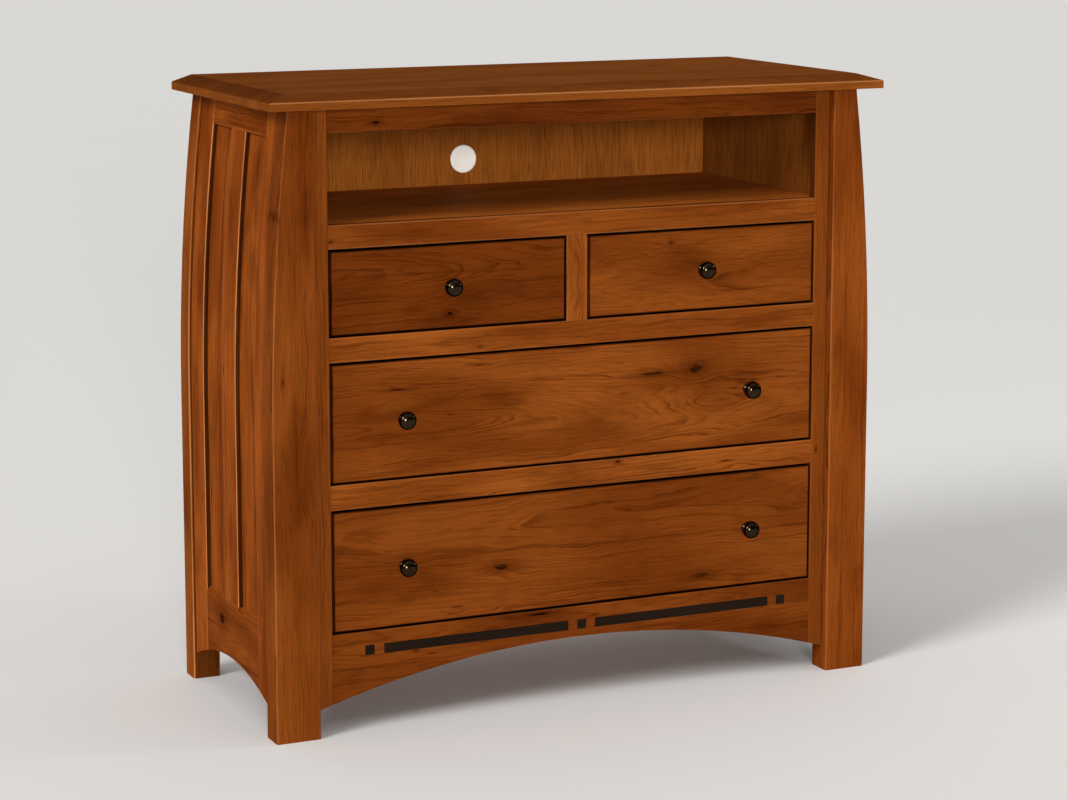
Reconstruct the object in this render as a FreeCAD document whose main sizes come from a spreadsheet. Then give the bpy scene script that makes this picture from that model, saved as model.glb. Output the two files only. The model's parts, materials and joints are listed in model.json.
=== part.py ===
import FreeCAD, Part
import math
import os
import re
import Sketcher
from FreeCAD import Vector

# A media chest in millimetres: X to the right, Y to the back, Z up. The origin is on the floor,
# under the middle of the top.
SIZES = {
    # Face frame, from the floor up
    "apron_top_height": 180.5,
    "lower_opening_height": 222.5,
    "lower_rail_height": 45.0,
    "middle_opening_height": 216.5,
    "upper_rail_height": 44.0,
    "upper_opening_height": 154.5,
    "shelf_rail_height": 42.0,
    "cubby_height": 158.0,
    "top_rail_height": 44.5,
    # Face frame, across
    "opening_width": 965.0,
    "face_stile_width": 29.5,
    "face_thickness": 20.0,
    "divider_width": 41.0,
    "divider_offset": -7.0,
    "frame_arris": 1.5,
    # Apron and its inlays
    "apron_arch_crown": 123.5,
    "apron_arch_spring": 45.5,
    "inlay_height": 18.0,
    "inlay_gap": 18.0,
    "inlay_bar_length": 362.0,
    "inlay_depth": 3.0,
    "inlay_centre_height": 146.0,
    "inlay_offset": 4.0,
    # Case and top
    "case_depth": 485.0,
    "top_front_overhang": 43.0,
    "top_side_overhang": 6.0,
    "top_edge_thickness": 14.5,
    "top_bevel_rise": 12.0,
    "top_bevel_width": 38.0,
    "top_arris": 3.0,
    # Legs: the outer face is upright below the curve's start
    "front_leg_width": 82.0,
    "front_leg_depth": 52.0,
    "front_leg_proud": 17.0,
    "rear_leg_width": 52.0,
    "rear_leg_depth": 47.0,
    "leg_curve_start": 550.0,
    "leg_curve_radius": 4500.0,
    "leg_arris": 3.0,
    # Side frames
    "side_inset": 6.0,
    "side_thickness": 22.0,
    "side_front_stile_width": 57.0,
    "side_rear_stile_width": 67.0,
    "side_mullion_width": 73.0,
    "side_top_rail_height": 54.0,
    "side_sill_height": 196.0,
    "side_sill_bevel": 8.0,
    "side_arch_crown": 91.0,
    "side_arch_spring": 50.0,
    "panel_recess": 9.0,
    "panel_thickness": 6.5,
    "panel_tongue": 8.0,
    # Inside of the case
    "shelf_thickness": 18.0,
    "wall_thickness": 9.0,
    "back_thickness": 6.0,
    "back_inset": 3.0,
    "dust_panel_thickness": 12.0,
    "floor_drop": 4.0,
    "partition_thickness": 18.0,
    "cleat_height": 64.0,
    # Drawers
    "drawer_gap": 4.0,
    "front_thickness": 20.0,
    "front_arris": 2.0,
    "box_thickness": 14.0,
    "box_headroom": 26.0,
    "box_footroom": 14.0,
    "box_rear_room": 24.0,
    "bottom_thickness": 6.0,
    "bottom_rise": 11.0,
    "bottom_groove": 7.0,
    "pin_width": 9.0,
    "pin_flare": 5.0,
    "upper_tails": 3,
    "wide_tails": 5,
    # Slides
    "slide_thickness": 12.7,
    "slide_height": 45.0,
    "slide_gauge": 1.2,
    "slide_clearance": 0.4,
    "slide_lip": 3.7,
    "slide_front_setback": 2.0,
    "slide_rear_setback": 30.0,
    # Knobs and their screws
    "knob_spread": 690.0,
    "knob_diameter": 30.0,
    "knob_length": 31.0,
    "knob_dome": 12.0,
    "knob_neck_diameter": 13.0,
    "knob_neck_length": 5.0,
    "knob_base_diameter": 19.0,
    "knob_base_thickness": 3.0,
    "screw_diameter": 4.0,
    "screw_clearance": 0.2,
    "screw_bite": 12.0,
    "screw_head_diameter": 9.0,
    "screw_head_height": 3.0,
    # Cable outlet in the back of the open compartment
    "outlet_offset": -22.0,
    "outlet_rise": 50.0,
    "outlet_hole_diameter": 46.0,
    "sleeve_wall": 2.0,
    "sleeve_clearance": 0.2,
    "sleeve_flange_diameter": 52.0,
    "sleeve_flange_thickness": 1.5,
    "sleeve_tail": 3.0,
    "cap_diameter": 54.0,
    "cap_thickness": 4.5,
    "cap_rim": 2.5,
    "cap_skirt_length": 5.0,
    "cap_skirt_wall": 1.6,
    "cap_clearance": 0.3,
}

# Places that several pieces share, as expressions over the sizes
FACE = "(top_front_overhang - (top_front_overhang + case_depth) / 2)"
REAR = "((top_front_overhang + case_depth) / 2)"
FACE_BACK = f"({FACE} + face_thickness)"
BACK_FRONT = f"({REAR} - back_inset - back_thickness)"
OPENING_X = "(opening_width / 2)"
LEG_INNER_X = f"({OPENING_X} + face_stile_width)"
WALL_X = f"({LEG_INNER_X} - wall_thickness)"
LEG_OUTER_X = f"({LEG_INNER_X} + front_leg_width)"
REAR_LEG_INNER_X = f"({LEG_OUTER_X} - rear_leg_width)"
TOP_X = f"({LEG_OUTER_X} + top_side_overhang)"
SIDE_FRONT = f"({FACE} - front_leg_proud + front_leg_depth)"
SIDE_REAR = f"({REAR} - rear_leg_depth)"
LOWER_RAIL = "(apron_top_height + lower_opening_height)"
MIDDLE_OPENING = f"({LOWER_RAIL} + lower_rail_height)"
UPPER_RAIL = f"({MIDDLE_OPENING} + middle_opening_height)"
UPPER_OPENING = f"({UPPER_RAIL} + upper_rail_height)"
SHELF_RAIL = f"({UPPER_OPENING} + upper_opening_height)"
SHELF = f"({SHELF_RAIL} + shelf_rail_height)"
TOP_RAIL = f"({SHELF} + cubby_height)"
CASE_TOP = f"({TOP_RAIL} + top_rail_height)"
CASE_FLOOR = "(apron_top_height - floor_drop - dust_panel_thickness)"
UPPER_DUST = f"({UPPER_RAIL} + (upper_rail_height - dust_panel_thickness) / 2)"
LOWER_DUST = f"({LOWER_RAIL} + (lower_rail_height - dust_panel_thickness) / 2)"
DIVIDER_LEFT = "(divider_offset - divider_width / 2)"
DIVIDER_RIGHT = "(divider_offset + divider_width / 2)"
CURVE_X = f"({LEG_OUTER_X} - leg_curve_radius)"
APRON_RISE = "(apron_arch_crown - apron_arch_spring)"
APRON_RADIUS = f"(({LEG_INNER_X} * {LEG_INNER_X} + {APRON_RISE} * {APRON_RISE}) / (2 * {APRON_RISE}))"
APRON_ARCH = ("0", f"apron_arch_crown - {APRON_RADIUS}", APRON_RADIUS)
FULL_TURN = 360
NEAR = 0.01

DOC = FreeCAD.newDocument("media_chest")
SHEET = DOC.addObject("Spreadsheet::Sheet", "Sizes")
NODES = []


def fill_sheet():
    """Writes each size into its own cell, under its name."""
    for row, (name, size) in enumerate(SIZES.items(), 1):
        SHEET.set(f"A{row}", name)
        SHEET.set(f"B{row}", str(size))
        SHEET.setAlias(f"B{row}", name)
    DOC.recompute()


def in_cells(text):
    """An expression over size names, with each name as its cell."""
    return re.sub(r"[a-z_]+", lambda word: f"Sizes.{word[0]}" if word[0] in SIZES else word[0], text)


def value(text):
    """The number that an expression over size names has now."""
    return float(SHEET.evalExpression(in_cells(text)))


def bind(thing, prop, text):
    """Ties a property to an expression over size names."""
    thing.setExpression(prop, in_cells(text))


def place(thing, x="0", y="0", z="0"):
    """Ties a piece's place to the sizes."""
    for axis, text in zip("xyz", (x, y, z)):
        bind(thing, f"Placement.Base.{axis}", text)


def node(thing, label):
    """Names a finished sub-part."""
    thing.Label = label
    NODES.append(thing)
    return thing


def box(name, x, y, z):
    """A plain board between low and high expressions on each axis."""
    piece = DOC.addObject("Part::Box", name)
    for prop, (low, high) in zip(("Length", "Width", "Height"), (x, y, z)):
        bind(piece, prop, f"({high}) - ({low})")
    place(piece, x[0], y[0], z[0])
    return piece


def group(name, pieces):
    """Several separate solids under one name."""
    together = DOC.addObject("Part::Compound", name)
    together.Links = pieces
    return together


def cut(name, base, tools):
    """A piece with the room for other pieces taken out of it."""
    piece = DOC.addObject("Part::Cut", name)
    piece.Base = base
    piece.Tool = tools[0] if len(tools) == 1 else group(name + "_cutters", tools)
    return piece


def mirrored(name, source):
    """The left-hand twin of a right-hand piece."""
    twin = DOC.addObject("Part::Mirroring", name)
    twin.Source = source
    twin.Normal = Vector(1, 0, 0)
    return twin


def pair(name, piece):
    """The right-hand piece and its left-hand twin, as two sub-parts."""
    node(piece, f"{name}_right")
    node(mirrored(f"{name}_twin", piece), f"{name}_left")


def rod(name, x, y, z, radius, length):
    """A round cutter along Y, from y towards the back."""
    piece = DOC.addObject("Part::Cylinder", name)
    bind(piece, "Radius", radius)
    bind(piece, "Height", length)
    piece.Placement = FreeCAD.Placement(Vector(), FreeCAD.Rotation(Vector(1, 0, 0), -90))
    place(piece, x, y, z)
    return piece


def origin_feature(body, role):
    """One of a body's own origin planes or axes."""
    return next(item for item in body.Origin.OriginFeatures if item.Role == role)


def corner_points(corners, arcs):
    """The corners' places now. A coordinate left as None is found on the arc that meets the corner."""
    points = []
    for number, (across, up) in enumerate(corners):
        arc = arcs.get(number, arcs.get((number - 1) % len(corners)))
        if across is None:
            centre_x, centre_y, radius = (value(text) for text in arc)
            rise = value(up) - centre_y
            points.append(Vector(centre_x + math.sqrt(radius ** 2 - rise ** 2), value(up)))
        elif up is None:
            centre_x, centre_y, radius = (value(text) for text in arc)
            run = value(across) - centre_x
            points.append(Vector(value(across), centre_y + math.sqrt(radius ** 2 - run ** 2)))
        else:
            points.append(Vector(value(across), value(up)))
    return points


def tie_point(sketch, edge, end, across, up):
    """Ties a point of a sketch to expressions for its place from the sketch's origin."""
    for kind, axis, text in (("DistanceX", -2, across), ("DistanceY", -1, up)):
        if text is None:
            continue
        if text == "0":
            sketch.addConstraint(Sketcher.Constraint("PointOnObject", edge, end, axis))
            continue
        number = sketch.addConstraint(Sketcher.Constraint(kind, -1, 1, edge, end, value(text)))
        bind(sketch, f"Constraints[{number}]", text)


def outline(body, plane, corners, arcs=None):
    """A closed sketch through the corners, each an (across, up) pair of expressions.

    arcs gives an edge, by the number of its first corner, a centre and a radius.
    """
    arcs = arcs or {}
    sketch = body.newObject("Sketcher::SketchObject", f"{body.Name}_outline")
    sketch.AttachmentSupport = [(origin_feature(body, plane), "")]
    sketch.MapMode = "FlatFace"
    points = corner_points(corners, arcs)
    ends = []
    for number, first in enumerate(points):
        last = points[(number + 1) % len(points)]
        if number not in arcs:
            sketch.addGeometry(Part.LineSegment(first, last))
            ends.append((1, 2))
            continue
        centre_x, centre_y, radius = (value(text) for text in arcs[number])
        circle = Part.Circle(Vector(centre_x, centre_y), Vector(0, 0, 1), radius)
        start = math.atan2(first.y - centre_y, first.x - centre_x)
        stop = math.atan2(last.y - centre_y, last.x - centre_x)
        forward = start < stop
        sketch.addGeometry(Part.ArcOfCircle(circle, min(start, stop), max(start, stop)))
        ends.append((1, 2) if forward else (2, 1))
    for number in range(len(points)):
        after = (number + 1) % len(points)
        sketch.addConstraint(
            Sketcher.Constraint("Coincident", number, ends[number][1], after, ends[after][0]))
    for number, (across, up) in enumerate(corners):
        tie_point(sketch, number, ends[number][0], across, up)
    for number, (centre_x, centre_y, radius) in arcs.items():
        if None in corners[number]:
            tie_point(sketch, number, 3, centre_x, centre_y)
        tie = sketch.addConstraint(Sketcher.Constraint("Radius", number, value(radius)))
        bind(sketch, f"Constraints[{tie}]", radius)
    return sketch


def prism(name, plane, corners, length, arcs=None):
    """A body padded from an outline towards the plane's positive axis."""
    body = DOC.addObject("PartDesign::Body", name)
    pad = body.newObject("PartDesign::Pad", f"{name}_pad")
    pad.Profile = outline(body, plane, corners, arcs)
    pad.Reversed = plane == "XZ_Plane"
    bind(pad, "Length", length)
    body.Tip = pad
    DOC.recompute()
    return body


def turned(name, corners, arcs=None):
    """A body turned about its own Y axis from an outline of (radius, distance along Y) corners."""
    body = DOC.addObject("PartDesign::Body", name)
    turning = body.newObject("PartDesign::Revolution", f"{name}_turning")
    turning.Profile = outline(body, "XY_Plane", corners, arcs)
    turning.ReferenceAxis = (origin_feature(body, "Y_Axis"), [""])
    turning.Angle = FULL_TURN
    body.Tip = turning
    DOC.recompute()
    return body


def ease(body, radius, wanted):
    """Rounds the edges of a body that wanted picks by their box and the body's box."""
    blank = body.Tip
    solid = blank.Shape
    names = [f"Edge{number}" for number, edge in enumerate(solid.Edges, 1)
             if wanted(edge.BoundBox, solid.BoundBox)]
    fillet = body.newObject("PartDesign::Fillet", f"{body.Name}_arris")
    fillet.Base = (blank, names)
    bind(fillet, "Radius", radius)
    body.Tip = fillet
    DOC.recompute()
    return body


def front_edge(edge, solid):
    """An edge in the front plane of a piece."""
    return edge.YMax - solid.YMin < NEAR


def long_front_edge(edge, solid):
    """A front edge that runs across the chest."""
    return front_edge(edge, solid) and edge.XLength > solid.XLength / 2


def lower_front_edge(edge, solid):
    """The lower front edge of a rail that runs across the chest."""
    return long_front_edge(edge, solid) and edge.ZMax - solid.ZMin < NEAR


def upper_front_edge(edge, solid):
    """The upper front edge of a board that runs across the chest."""
    return long_front_edge(edge, solid) and solid.ZMax - edge.ZMin < NEAR


def upright_front_edge(edge, solid):
    """A front edge that runs up the chest."""
    return front_edge(edge, solid) and edge.ZLength > solid.ZLength / 2


def upright_edge(edge, solid):
    """An edge that runs up a piece, straight or along its curve."""
    return edge.ZLength > edge.XLength and edge.ZLength > edge.YLength


def outer_upright_edge(edge, solid):
    """An edge that runs up the outer face of a right-hand side piece."""
    return upright_edge(edge, solid) and solid.XMax - edge.XMax < NEAR


def board(name, x, y, z, radius, wanted):
    """A board with some of its edges eased."""
    corners = [(x[0], y[0]), (x[1], y[0]), (x[1], y[1]), (x[0], y[1])]
    body = prism(name, "XY_Plane", corners, f"({z[1]}) - ({z[0]})")
    place(body, z=z[0])
    return ease(body, radius, wanted)


def make_top():
    """The top: a slab bevelled along its front and its two ends."""
    thickness = "(top_edge_thickness + top_bevel_rise)"
    corners = [(f"-{TOP_X}", f"-{REAR}"), (TOP_X, f"-{REAR}"), (TOP_X, REAR), (f"-{TOP_X}", REAR)]
    body = prism("top", "XY_Plane", corners, thickness)
    right_bevel = [(f"{TOP_X} - top_bevel_width", thickness), (TOP_X, "top_edge_thickness"),
                   (TOP_X, thickness)]
    left_bevel = [(f"-({across})", up) for across, up in right_bevel]
    front_bevel = [(f"top_bevel_width - {REAR}", thickness), (f"-{REAR}", "top_edge_thickness"),
                   (f"-{REAR}", thickness)]
    for plane, bevel in (("XZ_Plane", right_bevel), ("XZ_Plane", left_bevel), ("YZ_Plane", front_bevel)):
        pocket = body.newObject("PartDesign::Pocket", "top_bevel")
        pocket.Profile = outline(body, plane, bevel)
        pocket.Type = "ThroughAll"
        pocket.Midplane = True
        body.Tip = pocket
        DOC.recompute()
    edge_height = value("top_edge_thickness")
    ease(body, "top_arris", lambda edge, solid: abs(edge.ZMin - edge_height) < NEAR
         and edge.ZLength < NEAR)
    place(body, z=CASE_TOP)
    node(body, "top_panel")


def leg_curve(depth):
    """The curve of the legs' outer face, or of a face at a depth inside it: centre and radius."""
    return CURVE_X, "leg_curve_start", f"leg_curve_radius - {depth}"


def make_leg(name, inner_x, front, depth):
    """A right-hand leg: upright inside, and outside curved inwards above the curve's start."""
    corners = [(inner_x, "0"), (LEG_OUTER_X, "0"), (None, "leg_curve_start"), (None, CASE_TOP),
               (inner_x, CASE_TOP)]
    body = prism(name, "XZ_Plane", corners, depth, {2: leg_curve("0")})
    place(body, y=front)
    return ease(body, "leg_arris", upright_edge)


def make_legs():
    """Four legs: the front pair stands proud of the face frame, the rear pair is flush at the back."""
    pair("front_leg", make_leg("front_leg", LEG_INNER_X, f"{FACE} - front_leg_proud", "front_leg_depth"))
    pair("rear_leg", make_leg("rear_leg", REAR_LEG_INNER_X, SIDE_REAR, "rear_leg_depth"))


def bent_board(name, y, z, depth, thickness):
    """An upright side board that follows the legs' curve, depth inside their outer face."""
    inner_depth = f"({depth} + {thickness})"
    corners = [(f"{LEG_OUTER_X} - {inner_depth}", z[0]), (f"{LEG_OUTER_X} - {depth}", z[0]),
               (None, "leg_curve_start"), (None, z[1]), (None, z[1]), (None, "leg_curve_start")]
    body = prism(name, "XZ_Plane", corners, f"({y[1]}) - ({y[0]})",
                 {2: leg_curve(depth), 4: leg_curve(inner_depth)})
    place(body, y=y[0])
    return body


def bent_rail(name, y, z, depth, thickness):
    """A rail wholly within the legs' curve, depth inside their outer face."""
    corners = [(None, z[0]), (None, z[1]), (None, z[1]), (None, z[0])]
    body = prism(name, "XZ_Plane", corners, f"({y[1]}) - ({y[0]})",
                 {0: leg_curve(depth), 2: leg_curve(f"({depth} + {thickness})")})
    place(body, y=y[0])
    return body


def make_sides():
    """Each side: two stiles, a middle upright, two rails and two panels held in grooves."""
    span = f"({SIDE_REAR} - {SIDE_FRONT})"
    panel_width = f"(({span} - side_front_stile_width - side_mullion_width - side_rear_stile_width) / 2)"
    first = f"({SIDE_FRONT} + side_front_stile_width)"
    mullion = f"({first} + {panel_width})"
    second = f"({mullion} + side_mullion_width)"
    rear_stile = f"({second} + {panel_width})"
    head = f"({CASE_TOP} - side_top_rail_height)"
    panel_depth = "(side_inset + panel_recess)"
    openings = ((first, mullion), (second, rear_stile))
    panels = []
    bevels = []
    for number, (front, rear) in enumerate(openings):
        panel_y = (f"{front} - panel_tongue", f"{rear} + panel_tongue")
        panel_z = ("side_sill_height - panel_tongue", f"{head} + panel_tongue")
        panels.append(bent_board(f"side_panel_{number}", panel_y, panel_z, panel_depth, "panel_thickness"))
        slope = [(f"{LEG_OUTER_X} - {panel_depth}", "side_sill_height"),
                 (f"{LEG_OUTER_X} - side_inset", "side_sill_height - side_sill_bevel"),
                 (f"{LEG_OUTER_X} - side_inset", "side_sill_height")]
        bevel = prism(f"sill_bevel_{number}", "XZ_Plane", slope, f"{rear} - {front}")
        place(bevel, y=front)
        bevels.append(bevel)
    half_span = f"({span} / 2)"
    rise = "(side_arch_crown - side_arch_spring)"
    arch = DOC.addObject("Part::Cylinder", "side_arch")
    bind(arch, "Radius", f"({half_span} * {half_span} + {rise} * {rise}) / (2 * {rise})")
    bind(arch, "Height", LEG_OUTER_X)
    arch.Placement = FreeCAD.Placement(Vector(), FreeCAD.Rotation(Vector(0, 1, 0), 90))
    place(arch, y=f"({SIDE_FRONT} + {SIDE_REAR}) / 2",
          z=f"side_arch_crown - ({half_span} * {half_span} + {rise} * {rise}) / (2 * {rise})")
    uprights = []
    for name, y, foot, top, cutters in (
            ("side_front_stile", (SIDE_FRONT, first), "side_arch_spring", CASE_TOP, panels + [arch]),
            ("side_mullion", (mullion, second), "side_sill_height", head, panels),
            ("side_rear_stile", (rear_stile, SIDE_REAR), "side_arch_spring", CASE_TOP, panels + [arch])):
        upright = bent_board(name, y, (foot, top), "side_inset", "side_thickness")
        ease(upright, "frame_arris", outer_upright_edge)
        uprights.append(cut(f"{name}_grooved", upright, cutters))
    top_rail = bent_rail("side_top_rail", (first, rear_stile), (head, CASE_TOP), "side_inset",
                         "side_thickness")
    bottom_rail = box("side_bottom_rail",
                      (f"{LEG_OUTER_X} - side_inset - side_thickness", f"{LEG_OUTER_X} - side_inset"),
                      (first, rear_stile), ("side_arch_spring", "side_sill_height"))
    pair("side_stiles", group("side_uprights", uprights))
    pair("side_top_rail", cut("side_top_rail_grooved", top_rail, panels))
    pair("side_bottom_rail", cut("side_bottom_rail_arched", bottom_rail, panels + bevels + [arch]))
    pair("side_panels", group("side_panel_pair", panels))


def make_face_frame():
    """The face frame between the front legs: stiles that end on the apron's arch, rails, a divider."""
    thick = (FACE, FACE_BACK)
    across = (f"-{OPENING_X}", OPENING_X)
    stile_corners = [(OPENING_X, None), (LEG_INNER_X, None), (LEG_INNER_X, CASE_TOP), (OPENING_X, CASE_TOP)]
    stile = prism("face_stile", "XZ_Plane", stile_corners, "face_thickness", {0: APRON_ARCH})
    place(stile, y=FACE)
    pair("face_stile", ease(stile, "frame_arris", upright_front_edge))
    for name, low, height, wanted in (
            ("lower_rail", LOWER_RAIL, "lower_rail_height", long_front_edge),
            ("upper_rail", UPPER_RAIL, "upper_rail_height", long_front_edge),
            ("shelf_rail", SHELF_RAIL, "shelf_rail_height", long_front_edge),
            ("top_rail", TOP_RAIL, "top_rail_height", lower_front_edge)):
        rail = board(name, across, thick, (low, f"{low} + {height}"), "frame_arris", wanted)
        node(rail, f"face_{name}")
    divider = board("divider", (DIVIDER_LEFT, DIVIDER_RIGHT), thick, (UPPER_OPENING, SHELF_RAIL),
                    "frame_arris", upright_front_edge)
    node(divider, "drawer_divider")


def make_apron():
    """The arched apron and the inlays let into its face: square, bar, square, bar, square."""
    corners = [(f"-{OPENING_X}", None), (OPENING_X, None), (OPENING_X, "apron_top_height"),
               (f"-{OPENING_X}", "apron_top_height")]
    apron = prism("apron_blank", "XZ_Plane", corners, "face_thickness", {0: APRON_ARCH})
    place(apron, y=FACE)
    ease(apron, "frame_arris", upper_front_edge)
    row = ["inlay_height", "inlay_bar_length", "inlay_height", "inlay_bar_length", "inlay_height"]
    low = "inlay_centre_height - inlay_height / 2"
    start = f"(inlay_offset - (3 * inlay_height + 2 * inlay_bar_length + {len(row) - 1} * inlay_gap) / 2)"
    inlays = []
    for number, length in enumerate(row):
        inlays.append(box(f"inlay_{number}", (start, f"{start} + {length}"),
                          (FACE, f"{FACE} + inlay_depth"), (low, f"{low} + inlay_height")))
        start = f"({start} + {length} + inlay_gap)"
    node(cut("apron_with_inlay_pockets", apron, inlays), "apron")
    node(group("inlays", inlays), "apron_inlays")


def make_inside():
    """Shelf, inner walls, dust panels, partition and filler posts."""
    depth = (FACE_BACK, BACK_FRONT)
    across = (f"-{WALL_X}", WALL_X)
    node(box("shelf", across, depth, (f"{SHELF} - shelf_thickness", SHELF)), "media_shelf")
    wall = box("wall", (WALL_X, LEG_INNER_X), depth, (CASE_FLOOR, CASE_TOP))
    node(group("walls", [wall, mirrored("wall_twin", wall)]), "inner_walls")
    post = box("post", (LEG_INNER_X, REAR_LEG_INNER_X), (SIDE_REAR, BACK_FRONT), (CASE_FLOOR, CASE_TOP))
    node(group("posts", [post, mirrored("post_twin", post)]), "rear_filler_posts")
    panels = [box(f"dust_panel_{number}", across, depth, (low, f"{low} + dust_panel_thickness"))
              for number, low in enumerate((CASE_FLOOR, LOWER_DUST, UPPER_DUST))]
    node(group("panels_under_drawers", panels), "dust_panels")
    partition = box("partition", ("divider_offset - partition_thickness / 2",
                                  "divider_offset + partition_thickness / 2"), depth,
                    (f"{UPPER_DUST} + dust_panel_thickness", f"{SHELF} - shelf_thickness"))
    node(partition, "drawer_partition")


def make_outlet():
    """The back panel, and the cable outlet's sleeve and cap in it."""
    outlet_z = f"({SHELF} + outlet_rise)"
    hole = rod("outlet_hole", "outlet_offset", BACK_FRONT, outlet_z, "outlet_hole_diameter / 2",
               "back_thickness")
    panel = box("back", (f"-{REAR_LEG_INNER_X}", REAR_LEG_INNER_X),
                (BACK_FRONT, f"{BACK_FRONT} + back_thickness"), (CASE_FLOOR, CASE_TOP))
    node(cut("back_with_outlet", panel, [hole]), "back_panel")
    outer = "(outlet_hole_diameter / 2 - sleeve_clearance)"
    bore = f"({outer} - sleeve_wall)"
    tail = "(back_thickness + sleeve_tail)"
    sleeve = turned("sleeve", [(bore, "-sleeve_flange_thickness"),
                               ("sleeve_flange_diameter / 2", "-sleeve_flange_thickness"),
                               ("sleeve_flange_diameter / 2", "0"), (outer, "0"), (outer, tail),
                               (bore, tail)])
    place(sleeve, "outlet_offset", BACK_FRONT, outlet_z)
    node(sleeve, "outlet_sleeve")
    seat = "(-sleeve_flange_thickness - cap_clearance)"
    face = f"({seat} - cap_thickness)"
    edge = "(cap_diameter / 2)"
    skirt = f"({bore} - cap_clearance)"
    end = f"({seat} + cap_skirt_length)"
    cap = turned("cap", [("0", face), (f"{edge} - cap_rim", face), (edge, f"{face} + cap_rim"),
                         (edge, seat), (skirt, seat), (skirt, end), (f"{skirt} - cap_skirt_wall", end),
                         (f"{skirt} - cap_skirt_wall", seat), ("0", seat)],
                 {1: (f"{edge} - cap_rim", f"{face} + cap_rim", "cap_rim")})
    place(cap, "outlet_offset", BACK_FRONT, outlet_z)
    node(cap, "outlet_cap")


def make_side_board(name, x, y, z, tails):
    """A drawer side with tails at both ends, between which the pins of the box ends fit."""
    depth = f"({y[1]} - {y[0]})"
    height = f"({z[1]} - {z[0]})"
    corners = [("0", "0"), (depth, "0"), (depth, height), ("0", height)]
    body = prism(name, "YZ_Plane", corners, "box_thickness")
    slots = []
    for end, root in (("0", "box_thickness"), (depth, f"{depth} - box_thickness")):
        pocket = body.newObject("PartDesign::Pocket", f"{name}_pin_slot")
        pocket.Profile = outline(body, "YZ_Plane", [
            (end, "-pin_width / 2"), (root, "-(pin_width + pin_flare) / 2"),
            (root, "(pin_width + pin_flare) / 2"), (end, "pin_width / 2")])
        pocket.Type = "ThroughAll"
        pocket.Reversed = True
        body.Tip = pocket
        DOC.recompute()
        slots.append(pocket)
    pattern = body.newObject("PartDesign::LinearPattern", f"{name}_pin_slots")
    pattern.Originals = slots
    pattern.Direction = (slots[0].Profile[0], ["V_Axis"])
    bind(pattern, "Length", height)
    bind(pattern, "Occurrences", f"{tails} + 1")
    body.Tip = pattern
    place(body, x, y[0], z[0])
    DOC.recompute()
    return body


def make_knob(name, x, z):
    """A mushroom knob on its base, bored for its screw, and the screw through the drawer's front."""
    bore = "(screw_diameter / 2 + screw_clearance)"
    rim = "(knob_dome - knob_length)"
    dome = "((knob_diameter * knob_diameter / 4 + knob_dome * knob_dome) / (2 * knob_dome))"
    neck_end = "(-knob_base_thickness - knob_neck_length)"
    bore_end = "(-screw_bite - screw_clearance)"
    knob = turned(f"{name}_knob", [
        (bore, "0"), ("knob_base_diameter / 2", "0"),
        ("knob_base_diameter / 2", "-knob_base_thickness / 2"),
        ("knob_neck_diameter / 2", "-knob_base_thickness"), ("knob_neck_diameter / 2", neck_end),
        ("knob_diameter / 2", rim), ("0", "-knob_length"), ("0", bore_end), (bore, bore_end)],
        {5: ("0", f"{dome} - knob_length", dome)})
    place(knob, x, FACE, z)
    shank = "(screw_diameter / 2)"
    seat = "(front_thickness + box_thickness)"
    screw = turned(f"{name}_screw", [
        ("0", "-screw_bite"), (shank, "-screw_bite"), (shank, seat), ("screw_head_diameter / 2", seat),
        ("screw_head_diameter / 2", f"{seat} + screw_head_height / 2"),
        ("screw_head_diameter / 4", f"{seat} + screw_head_height"), ("0", f"{seat} + screw_head_height")])
    place(screw, x, FACE, z)
    hole = rod(f"{name}_screw_hole", x, FACE, z, bore, seat)
    return knob, screw, hole


def make_drawer(name, x, z, tails, knob_places):
    """One drawer in its opening: front, dovetailed box, bottom, knobs and their screws."""
    middle = f"(({z[0]} + {z[1]}) / 2)"
    knobs = [make_knob(f"{name}_{number}", place_x, middle) for number, place_x in enumerate(knob_places)]
    holes = [hole for knob, screw, hole in knobs]
    front_back = f"({FACE} + front_thickness)"
    front = board(f"{name}_front_blank", (f"{x[0]} + drawer_gap", f"{x[1]} - drawer_gap"),
                  (FACE, front_back), (f"{z[0]} + drawer_gap", f"{z[1]} - drawer_gap"), "front_arris",
                  front_edge)
    box_x = (f"({x[0]} + slide_thickness)", f"({x[1]} - slide_thickness)")
    box_y = (front_back, f"({BACK_FRONT} - box_rear_room)")
    box_z = (f"({z[0]} + box_footroom)", f"({z[1]} - box_headroom)")
    inner_x = (f"({box_x[0]} + box_thickness)", f"({box_x[1]} - box_thickness)")
    inner_y = (f"({box_y[0]} + box_thickness)", f"({box_y[1]} - box_thickness)")
    floor = f"({box_z[0]} + bottom_rise)"
    bottom = box(f"{name}_floor", (f"{inner_x[0]} - bottom_groove", f"{inner_x[1]} + bottom_groove"),
                 (f"{inner_y[0]} - bottom_groove", f"{inner_y[1]} + bottom_groove"),
                 (floor, f"{floor} + bottom_thickness"))
    sides = [make_side_board(f"{name}_side_{number}", low, box_y, box_z, tails)
             for number, low in enumerate((box_x[0], inner_x[1]))]
    ends = []
    for number, (y, cutters) in enumerate((((box_y[0], inner_y[0]), holes), ((inner_y[1], box_y[1]), []))):
        blank = box(f"{name}_end_{number}", box_x, y, box_z)
        ends.append(cut(f"{name}_end_{number}_pinned", blank, sides + [bottom] + cutters))
    grooved = [cut(f"{side.Name}_grooved", side, [bottom]) for side in sides]
    node(cut(f"{name}_front_bored", front, holes), f"{name}_drawer_front")
    node(group(f"{name}_box", grooved + ends), f"{name}_drawer_box")
    node(bottom, f"{name}_drawer_bottom")
    node(group(f"{name}_knobs_set", [knob for knob, screw, hole in knobs]), f"{name}_knobs")
    node(group(f"{name}_screws_set", [screw for knob, screw, hole in knobs]), f"{name}_knob_screws")


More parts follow.
